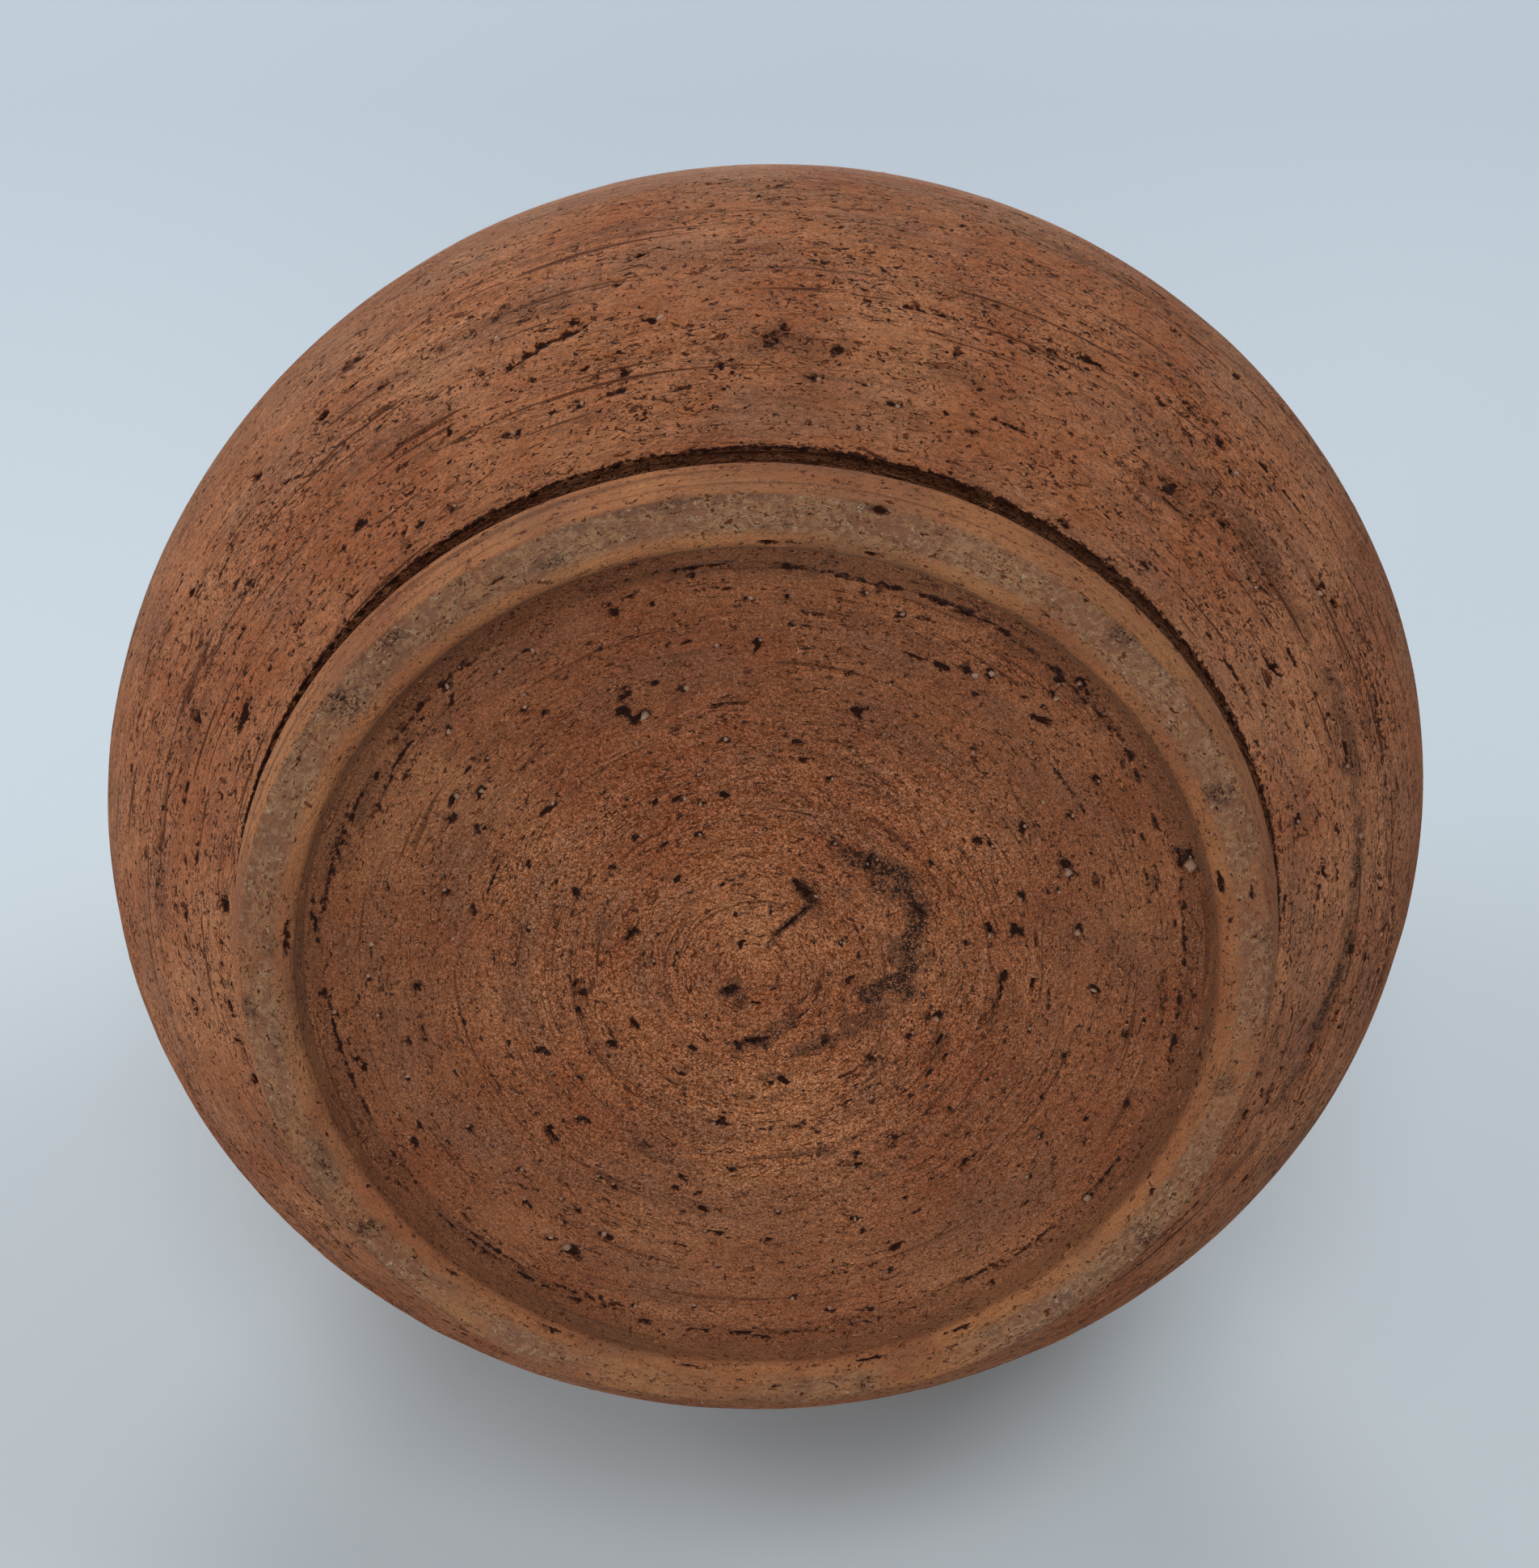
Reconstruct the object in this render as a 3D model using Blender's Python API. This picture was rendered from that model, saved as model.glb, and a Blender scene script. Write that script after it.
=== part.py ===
"""Stoneware vase: an unglazed, wheel-thrown vessel in coarse red-brown clay.

The wall is one outline, divided into the sections that a potter throws or turns by themselves and
lutes together with slip: foot ring, base disc, belly, shoulder, neck and lip. Each seam between
two thrown sections is a shallow V, which centres the upper edge in the lower one.

Metres, +Z up. The origin is the centre of the foot, on the surface that the vase stands on.
A profile point is (r, z): its distance from the vase's axis and its height.
"""

import math

import bmesh
import bpy
from mathutils import Vector

# Foot ring: a flat face to stand on, and a side that leans out to a rounded flange
FOOT_RADIUS = 0.0550
FOOT_FACE_WIDTH = 0.0060
FOOT_OUTER_ROUND = 0.0007
FOOT_INNER_ROUND = 0.0013
FLANGE_RADIUS = 0.0563
FLANGE_HEIGHT = 0.0053
FLANGE_ROUND = 0.0006
FLANGE_SLOPE = 0.0004

# Groove above the flange, cut up behind the belly's lower edge
GROOVE_DEPTH = 0.0022
GROOVE_WIDTH = 0.0038
UNDERCUT = 0.0007

# Base disc, recessed inside the ring and dished on both faces
RECESS_DEPTH = 0.0032
RECESS_DRAFT = 0.0008
BASE_DISH = 0.0006
BASE_THICKNESS = 0.0076
FLOOR_DISH = 0.0020
REBATE_WIDTH = 0.0034
REBATE_HEIGHT = 0.0020

# Belly
BELLY_EDGE_RADIUS = 0.0569
BELLY_RADIUS = 0.0786
WIDEST_HEIGHT = 0.0400
BELLY_FULLNESS = 2.3
FLOOR_FILLET = 0.0030

# Shoulder
SHOULDER_TOP_RADIUS = 0.0420
SHOULDER_TOP_HEIGHT = 0.0915
SHOULDER_FULLNESS = 2.0

# Neck
NECK_RADIUS = 0.0340
WAIST_HEIGHT = 0.1060
NECK_FLARE = 0.0028

# Lip: a round bead, rolled this many degrees past its sides towards its underside
HEIGHT = 0.1330
LIP_HEIGHT = 0.0078
LIP_THICKNESS = 0.0072
LIP_OUTSET = 0.0007
LIP_ROLL = 40

# Wall, measured square to the outside
WALL_AT_FOOT = 0.0066
WALL_AT_WIDEST = 0.0060
WALL_AT_NECK = 0.0050

# Seams between sections, and the clearance where one seats in another
SEAM_GAP = 0.00034
V_DEPTH = 0.0014
CLEARANCE = 0.0003

# Mesh fineness
SEGMENTS = 60
ARC_STEPS = 8
EDGE_STEPS = 3
DISH_STEPS = 3
SMOOTH_ANGLE = math.radians(32)

# Fired clay, as sRGB bytes
WORN_RING = (128, 92, 72)
DARK_BASE = (118, 74, 52)
BELLY_CLAY = (128, 83, 60)
UPPER_CLAY = (126, 82, 60)
CLAY_ROUGHNESS = 0.88

# Sizes that follow from the ones above
FOOT_INNER_RADIUS = FOOT_RADIUS - FOOT_FACE_WIDTH
RECESS_RADIUS = FOOT_INNER_RADIUS - RECESS_DRAFT
REBATE_RADIUS = RECESS_RADIUS + REBATE_WIDTH
LEDGE_HEIGHT = RECESS_DEPTH + REBATE_HEIGHT
GROOVE_RADIUS = FLANGE_RADIUS - GROOVE_DEPTH
GROOVE_TOP = FLANGE_HEIGHT + GROOVE_WIDTH
RING_TOP = FLANGE_HEIGHT + GROOVE_WIDTH / 2
BELLY_EDGE_HEIGHT = GROOVE_TOP - UNDERCUT
FLOOR_HEIGHT = RECESS_DEPTH + BASE_THICKNESS
FLOOR_EDGE_HEIGHT = FLOOR_HEIGHT + FLOOR_DISH
LIP_SEAM_HEIGHT = HEIGHT - LIP_HEIGHT


def circle_arc(centre, radius, start, end, steps):
    """Points on a circle, from one angle in degrees to another, 0 pointing away from the axis."""
    points = []
    for i in range(steps + 1):
        angle = math.radians(start + (end - start) * i / steps)
        points.append((centre[0] + radius * math.cos(angle), centre[1] + radius * math.sin(angle)))
    return points


def swelling_arc(edge, fullness, steps):
    """The wall from a point below or above the widest line to that line.

    It is a superellipse about the axis that passes through the point and stands upright at
    the widest line. A fullness of 2 is an ellipse, and a higher one is a fuller wall.
    """
    radial_share = edge[0] / BELLY_RADIUS
    rise_share = (1 - radial_share**fullness) ** (1 / fullness)
    half_height = (edge[1] - WIDEST_HEIGHT) / rise_share
    start = math.atan2(rise_share ** (fullness / 2), radial_share ** (fullness / 2))
    points = []
    for i in range(steps + 1):
        angle = start * (1 - i / steps)
        r = BELLY_RADIUS * math.cos(angle) ** (2 / fullness)
        z = WIDEST_HEIGHT + half_height * math.sin(angle) ** (2 / fullness)
        points.append((r, z))
    return points


def easing_curve(start, start_pull, end, end_pull, steps):
    """A cubic curve that leaves its start along one pull and reaches its end along the other."""
    corners = [Vector(start), Vector(start) + Vector(start_pull), Vector(end) - Vector(end_pull), Vector(end)]
    points = []
    for i in range(steps + 1):
        t = i / steps
        weights = [(1 - t) ** 3, 3 * t * (1 - t) ** 2, 3 * t * t * (1 - t), t**3]
        points.append(tuple(sum((c * w for c, w in zip(corners, weights)), Vector((0, 0)))))
    return points


def wall_outline():
    """The wall's outside from the belly's lower edge to the lip's seam, and the indices of its seams."""
    belly_side = swelling_arc((BELLY_EDGE_RADIUS, BELLY_EDGE_HEIGHT), BELLY_FULLNESS, ARC_STEPS)
    shoulder_top = (SHOULDER_TOP_RADIUS, SHOULDER_TOP_HEIGHT)
    shoulder_side = swelling_arc(shoulder_top, SHOULDER_FULLNESS, ARC_STEPS)[::-1]
    slope = (Vector(shoulder_side[-1]) - Vector(shoulder_side[-2])).normalized()
    waist = (NECK_RADIUS, WAIST_HEIGHT)
    rise = WAIST_HEIGHT - SHOULDER_TOP_HEIGHT
    root_side = easing_curve(shoulder_top, slope * rise / 2, waist, (0, rise / 2), ARC_STEPS // 2)
    reach = LIP_SEAM_HEIGHT - WAIST_HEIGHT
    neck_top = (NECK_RADIUS + NECK_FLARE, LIP_SEAM_HEIGHT)
    neck_side = easing_curve(waist, (0, reach / 3), neck_top, (NECK_FLARE / 2, reach / 3), ARC_STEPS // 2)
    outline = belly_side + shoulder_side[1:] + root_side[1:] + neck_side[1:]
    widest = len(belly_side) - 1
    return outline, widest, widest + len(shoulder_side) - 1


def directions(outline):
    """The unit direction of the outline at each of its points."""
    found = []
    for i in range(len(outline)):
        before = Vector(outline[max(i - 1, 0)])
        after = Vector(outline[min(i + 1, len(outline) - 1)])
        found.append((after - before).normalized())
    return found


def wall_thickness(z):
    """The wall thins evenly from the foot to the widest line, and from there to the neck."""
    if z < WIDEST_HEIGHT:
        share = (WIDEST_HEIGHT - z) / (WIDEST_HEIGHT - BELLY_EDGE_HEIGHT)
        return WALL_AT_WIDEST + (WALL_AT_FOOT - WALL_AT_WIDEST) * share
    share = min(1.0, (z - WIDEST_HEIGHT) / (SHOULDER_TOP_HEIGHT - WIDEST_HEIGHT))
    return WALL_AT_WIDEST + (WALL_AT_NECK - WALL_AT_WIDEST) * share


OUTSIDE, WIDEST, NECK_ROOT = wall_outline()
ALONG = directions(OUTSIDE)
INSIDE = [
    (r - d.y * wall_thickness(z), z + d.x * wall_thickness(z)) for (r, z), d in zip(OUTSIDE, ALONG)
]


def seam(index, lift=0):
    """The V across the wall at one outline point, from outside to inside, moved up the wall by lift."""
    along = ALONG[index]
    outer = Vector(OUTSIDE[index])
    inner = Vector(INSIDE[index])
    valley = (outer + inner) / 2 - along * V_DEPTH
    return [tuple(p + along * lift) for p in (outer, valley, inner)]


def clay(name, colour):
    """Unglazed fired clay of one colour."""
    material = bpy.data.materials.new(name)
    material.use_nodes = True
    shader = material.node_tree.nodes["Principled BSDF"]
    linear = [((c / 255 + 0.055) / 1.055) ** 2.4 for c in colour]
    shader.inputs["Base Color"].default_value = (*linear, 1)
    shader.inputs["Roughness"].default_value = CLAY_ROUGHNESS
    shader.inputs["Metallic"].default_value = 0
    return material


def turned(name, profile, colour, closed=True):
    """A named solid: the profile spun round the vase's axis. An open profile ends on the axis."""
    bm = bmesh.new()
    verts = [bm.verts.new((r, 0, z)) for r, z in profile]
    pairs = list(zip(verts, verts[1:]))
    if closed:
        pairs.append((verts[-1], verts[0]))
    edges = [bm.edges.new(pair) for pair in pairs]
    bmesh.ops.spin(
        bm, geom=verts + edges, cent=(0, 0, 0), axis=(0, 0, 1), angle=math.tau,
        steps=SEGMENTS, use_merge=True, use_duplicate=False,
    )
    bmesh.ops.remove_doubles(bm, verts=bm.verts, dist=0.000001)
    bmesh.ops.recalc_face_normals(bm, faces=bm.faces)
    mesh = bpy.data.meshes.new(name)
    bm.to_mesh(mesh)
    bm.free()
    mesh.shade_smooth()
    mesh.set_sharp_from_angle(angle=SMOOTH_ANGLE)
    mesh.materials.append(clay(name + "_clay", colour))
    bpy.context.scene.collection.objects.link(bpy.data.objects.new(name, mesh))


def foot_ring():
    """The ring that the vase stands on, with a rebate inside its top for the base disc."""
    lean = math.degrees(math.atan2(FLANGE_RADIUS - FOOT_RADIUS, FLANGE_HEIGHT - FOOT_OUTER_ROUND))
    inner_centre = (FOOT_INNER_RADIUS + FOOT_INNER_ROUND, FOOT_INNER_ROUND)
    inner_edge = circle_arc(inner_centre, FOOT_INNER_ROUND, 180, 270, EDGE_STEPS)
    outer_centre = (FOOT_RADIUS - FOOT_OUTER_ROUND, FOOT_OUTER_ROUND)
    outer_edge = circle_arc(outer_centre, FOOT_OUTER_ROUND, 270, 360 - lean, EDGE_STEPS - 1)
    flange_centre = (FLANGE_RADIUS - FLANGE_ROUND, FLANGE_HEIGHT)
    flange = circle_arc(flange_centre, FLANGE_ROUND, -lean, 90, EDGE_STEPS)
    groove = [(GROOVE_RADIUS, FLANGE_HEIGHT + FLANGE_ROUND + FLANGE_SLOPE), (GROOVE_RADIUS, RING_TOP)]
    rebate = [(REBATE_RADIUS, RING_TOP), (REBATE_RADIUS, LEDGE_HEIGHT), (RECESS_RADIUS, LEDGE_HEIGHT)]
    recess = [(RECESS_RADIUS, RECESS_DEPTH)]
    turned("foot_ring", inner_edge + outer_edge + flange + groove + rebate + recess, WORN_RING)


def base_disc():
    """A disc with a stepped edge, whose upper step sits on the ring's rebate."""
    plug = RECESS_RADIUS - CLEARANCE
    step = REBATE_RADIUS - CLEARANCE
    seat = LEDGE_HEIGHT + CLEARANCE
    shares = [i / DISH_STEPS for i in range(DISH_STEPS + 1)]
    underside = [(plug * s, RECESS_DEPTH + BASE_DISH * (1 - s * s)) for s in shares]
    floor = [(step * s, FLOOR_HEIGHT + FLOOR_DISH * s**3) for s in reversed(shares)]
    turned("base_disc", underside + [(plug, seat), (step, seat)] + floor, DARK_BASE, closed=False)


def belly():
    """The bowl from the undercut groove to the widest line, with its floor corner filled in."""
    seat = RING_TOP + CLEARANCE
    groove = [
        (REBATE_RADIUS, seat), (GROOVE_RADIUS, seat),
        (GROOVE_RADIUS, GROOVE_TOP), (BELLY_EDGE_RADIUS - UNDERCUT, GROOVE_TOP),
    ]
    joins = next(i for i, p in enumerate(INSIDE) if p[1] > FLOOR_EDGE_HEIGHT + FLOOR_FILLET)
    pull = (INSIDE[joins][0] - REBATE_RADIUS) / 3
    corner = easing_curve(
        (REBATE_RADIUS, FLOOR_EDGE_HEIGHT), (pull, 0), INSIDE[joins], ALONG[joins] * pull, EDGE_STEPS
    )
    inside = INSIDE[joins + 1 : WIDEST]
    turned("belly", groove + OUTSIDE[:WIDEST] + seam(WIDEST) + inside[::-1] + corner[::-1], BELLY_CLAY)


def shoulder():
    """The upper wall, closing in from the widest line to the root of the neck."""
    between = slice(WIDEST + 1, NECK_ROOT)
    foot = seam(WIDEST, SEAM_GAP)
    turned("shoulder", foot[::-1] + OUTSIDE[between] + seam(NECK_ROOT) + INSIDE[between][::-1], UPPER_CLAY)


def neck():
    """The short neck, drawn in to a waist and leaning out towards the lip."""
    between = slice(NECK_ROOT + 1, -1)
    foot = seam(NECK_ROOT, SEAM_GAP)
    turned("neck", foot[::-1] + OUTSIDE[between] + seam(-1) + INSIDE[between][::-1], UPPER_CLAY)


def lip():
    """The rim, rolled to a round bead a little thicker than the neck."""
    foot = seam(-1, SEAM_GAP)
    bead = LIP_THICKNESS / 2
    centre = ((foot[0][0] + foot[2][0]) / 2 + LIP_OUTSET, HEIGHT - bead)
    turned("lip", foot[::-1] + circle_arc(centre, bead, -LIP_ROLL, 180 + LIP_ROLL, ARC_STEPS), UPPER_CLAY)


for old in list(bpy.data.objects):
    bpy.data.objects.remove(old, do_unlink=True)
foot_ring()
base_disc()
belly()
shoulder()
neck()
lip()
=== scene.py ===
import math

import bmesh
import bpy
import numpy as np
from mathutils import Matrix, Vector


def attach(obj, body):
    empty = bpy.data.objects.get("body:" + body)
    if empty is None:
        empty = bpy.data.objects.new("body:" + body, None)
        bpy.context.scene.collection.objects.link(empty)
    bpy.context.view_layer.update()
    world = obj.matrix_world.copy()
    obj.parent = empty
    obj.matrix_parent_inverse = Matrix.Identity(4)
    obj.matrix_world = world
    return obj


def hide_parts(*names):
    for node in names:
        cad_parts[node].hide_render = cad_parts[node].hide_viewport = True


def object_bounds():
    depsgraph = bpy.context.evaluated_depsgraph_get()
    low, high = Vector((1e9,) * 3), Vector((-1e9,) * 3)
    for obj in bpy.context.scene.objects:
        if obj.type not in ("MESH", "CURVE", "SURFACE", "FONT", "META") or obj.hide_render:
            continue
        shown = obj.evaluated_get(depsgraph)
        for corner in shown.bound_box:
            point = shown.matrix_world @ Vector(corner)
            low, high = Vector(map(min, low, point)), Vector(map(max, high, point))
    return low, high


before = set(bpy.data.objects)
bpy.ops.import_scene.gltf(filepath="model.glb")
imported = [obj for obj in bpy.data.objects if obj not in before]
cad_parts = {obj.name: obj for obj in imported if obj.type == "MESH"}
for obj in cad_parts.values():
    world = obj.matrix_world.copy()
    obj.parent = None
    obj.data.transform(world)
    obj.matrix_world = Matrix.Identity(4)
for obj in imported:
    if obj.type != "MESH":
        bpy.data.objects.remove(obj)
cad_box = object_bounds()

# Camera
# The photograph looks up at the foot from in front and below, from a quarter of a metre away.
# The place, the aim and the turn about the line of sight were fitted to the foot's rings and the outline.
CAMERA_PLACE = Vector((-0.0007, -0.1215, -0.2184))
CAMERA_AIM = Vector((0.0013, -0.0240, 0.0))
CAMERA_TURN = math.radians(-1.26)
CAMERA_LENS = 53.9          # mm, on a 36 mm wide sensor
scene = bpy.context.scene
camera = bpy.data.objects.new("camera", bpy.data.cameras.new("camera"))
scene.collection.objects.link(camera)
camera.data.lens = CAMERA_LENS
camera.data.sensor_width = 36
camera.data.clip_start = 0.01
camera.location = CAMERA_PLACE
camera.rotation_mode = "QUATERNION"
looking = (CAMERA_AIM - CAMERA_PLACE).to_track_quat("-Z", "Y")
camera.rotation_quaternion = looking @ Matrix.Rotation(CAMERA_TURN, 3, "Z").to_quaternion()
scene.camera = camera

# Foot ring
# The ring that the vase stands on is turned from leather-hard clay: a flat face, a rounded inner edge and
# an outer wall that leans out to a small flange over the groove. It is bare fired stoneware, rubbed
# greyish and scratched where it has stood. This section also has the potter's tools that all pieces share.
MM = 0.001                  # shapes are worked out in millimetres, and meshes are in metres
MERGE = 0.000002            # metres between points that are one point
ON_AXIS = 0.001             # mm; an outline that starts nearer to the axis than this isn't closed
CORNER = math.radians(45)   # a sharper turn than this in an outline stays a corner
CREASE = math.radians(50)   # a finished surface that turns more than this between faces shows an edge
SECTORS = 30                # equal parts that a turned piece is spun in; each number of steps divides by it
SEED_STEP = 17.31           # cells of noise from one seed's pattern to the next
SHUFFLED = np.random.default_rng(7).permutation(256)


def cut_open(node):
    """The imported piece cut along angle 0: points (radius, height) in mm, anticlockwise round the section."""
    cut = bmesh.new()
    cut.from_mesh(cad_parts[node].data)
    bmesh.ops.remove_doubles(cut, verts=cut.verts, dist=MERGE)
    whole = cut.verts[:] + cut.edges[:] + cut.faces[:]
    found = bmesh.ops.bisect_plane(cut, geom=whole, dist=MERGE, plane_co=(0, 0, 0), plane_no=(0, 1, 0))
    near = {}
    for edge in found["geom_cut"]:
        if isinstance(edge, bmesh.types.BMEdge) and min(v.co.x for v in edge.verts) > -MERGE:
            a, b = edge.verts
            near.setdefault(a, []).append(b)
            near.setdefault(b, []).append(a)
    ends = [v for v in near if len(near[v]) == 1]
    walk = [min(ends or near, key=lambda v: v.co.z)]
    while onward := [v for v in near[walk[-1]] if v not in walk]:
        walk.append(onward[0])
    points = np.array([(v.co.x, v.co.z) for v in walk]) / MM
    cut.free()
    r, z = points.T
    anticlockwise = np.sum(r * np.roll(z, -1) - np.roll(r, -1) * z) > 0
    return points if anticlockwise else points[::-1]


def split_at_corners(points):
    """Splits an outline into runs that have no corner inside them; a closed one is joined up again."""
    closed = points[0][0] > ON_AXIS
    into = points - np.roll(points, 1, axis=0)
    out = np.roll(into, -1, axis=0)
    turn = np.abs(np.arctan2(into[:, 0] * out[:, 1] - into[:, 1] * out[:, 0], (into * out).sum(1)))
    corners = [i for i in range(len(points)) if turn[i] > CORNER]
    if closed:
        points = np.roll(points, -corners[0], axis=0)
        points = np.vstack((points, points[:1]))
        corners = [i - corners[0] for i in corners] + [len(points) - 1]
    else:
        corners = sorted({0, len(points) - 1, *corners})
    return [points[a:b + 1] for a, b in zip(corners, corners[1:])], closed


def smooth_run(run, step):
    """One run of an outline made smooth, with a point at least every step mm, and without its last point."""
    gap = np.linalg.norm(np.diff(run, axis=0), axis=1)[:, None]
    slope = np.diff(run, axis=0) / gap
    lean = (slope[1:] * gap[1:] + slope[:-1] * gap[:-1]) / (gap[1:] + gap[:-1])
    first = (3 * slope[0] - lean[0]) / 2 if len(lean) else slope[0]
    last = (3 * slope[-1] - lean[-1]) / 2 if len(lean) else slope[0]
    lean = np.vstack((first, *lean, last))
    pieces = []
    for i, length in enumerate(gap[:, 0]):
        count = math.ceil(length / step)
        t = (np.arange(count) / count)[:, None]
        pieces.append((2 * t**3 - 3 * t**2 + 1) * run[i] + (t**3 - 2 * t**2 + t) * length * lean[i]
                      + (3 * t**2 - 2 * t**3) * run[i + 1] + (t**3 - t**2) * length * lean[i + 1])
    return np.vstack(pieces)


def turn_piece(points, steps, fine, coarse, is_skin):
    """Spins an outline about the vase's axis into a closed mesh. Its points lie fine mm apart on the run that
    is_skin picks, and coarse mm apart elsewhere. Each keeps its distance along the outline, from where the
    skin begins, as the attribute "along"."""
    runs, closed = split_at_corners(points)
    skin = max(range(len(runs)), key=lambda i: is_skin(runs[i]))
    parts = [smooth_run(run, fine if i == skin else coarse) for i, run in enumerate(runs)]
    if not closed:
        parts.append(runs[-1][-1:])
    line = np.vstack(parts)
    start = sum(len(part) for part in parts[:skin])
    distance = np.concatenate(([0], np.cumsum(np.linalg.norm(np.diff(line, axis=0), axis=1))))
    bm = bmesh.new()
    along = bm.verts.layers.float.new("along")
    wire = []
    for (r, z), far in zip(line, distance - distance[start]):
        vertex = bm.verts.new((r * MM, 0, z * MM))
        vertex[along] = far
        wire.append(vertex)
    for a, b in zip(wire, wire[1:] + (wire[:1] if closed else [])):
        bm.edges.new((a, b))
    arc = math.tau / SECTORS            # one sector is spun and then repeated, which is far quicker
    bmesh.ops.spin(bm, geom=bm.verts[:] + bm.edges[:], axis=(0, 0, 1), angle=arc, steps=steps // SECTORS)
    bmesh.ops.spin(bm, geom=bm.verts[:] + bm.edges[:] + bm.faces[:], axis=(0, 0, 1), angle=math.tau - arc,
                   steps=SECTORS - 1, use_duplicate=True)
    bmesh.ops.remove_doubles(bm, verts=bm.verts, dist=MERGE)
    bmesh.ops.recalc_face_normals(bm, faces=bm.faces)
    mesh = bpy.data.meshes.new("clay")
    bm.to_mesh(mesh)
    bm.free()
    mesh.shade_smooth()
    return mesh


def noise(points, grain, seed):
    """A smooth random value from -1 to 1 at each point; grain is its size in mm, one for each coordinate."""
    cell = points / grain + seed * SEED_STEP
    low = np.floor(cell).astype(int)
    part = cell - low
    part = part * part * (3 - 2 * part)
    total = 0
    for corner in np.ndindex(2, 2, 2):
        a, b, c = (low + corner).T & 255
        value = SHUFFLED[(SHUFFLED[(SHUFFLED[a] + b) & 255] + c) & 255]
        total = total + value * np.prod(np.where(corner, part, 1 - part), axis=1)
    return total / 127.5 - 1


def rise(values, low, high):
    """0 below low, 1 above high, and a smooth slope between them."""
    t = np.clip((values - low) / (high - low), 0, 1)
    return t * t * (3 - 2 * t)


def ridge(values, middle, width):
    """1 at the middle value, and less on both sides of it, down to almost 0 at twice the width."""
    return np.exp(-((values - middle) / width) ** 2)


BEND = 0.28                 # mm that a mark strays up and down on its way
TEAR_RAGGED = 0.35          # how ragged a tear's edge is, as a share of half its width
SMEAR_RAGGED = 0.5          # and a smear's
BURR = 0.18                 # how high the raised edge of a tear is, as a share of its depth
TRAIL_DEPTH = 0.12          # mm


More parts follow.
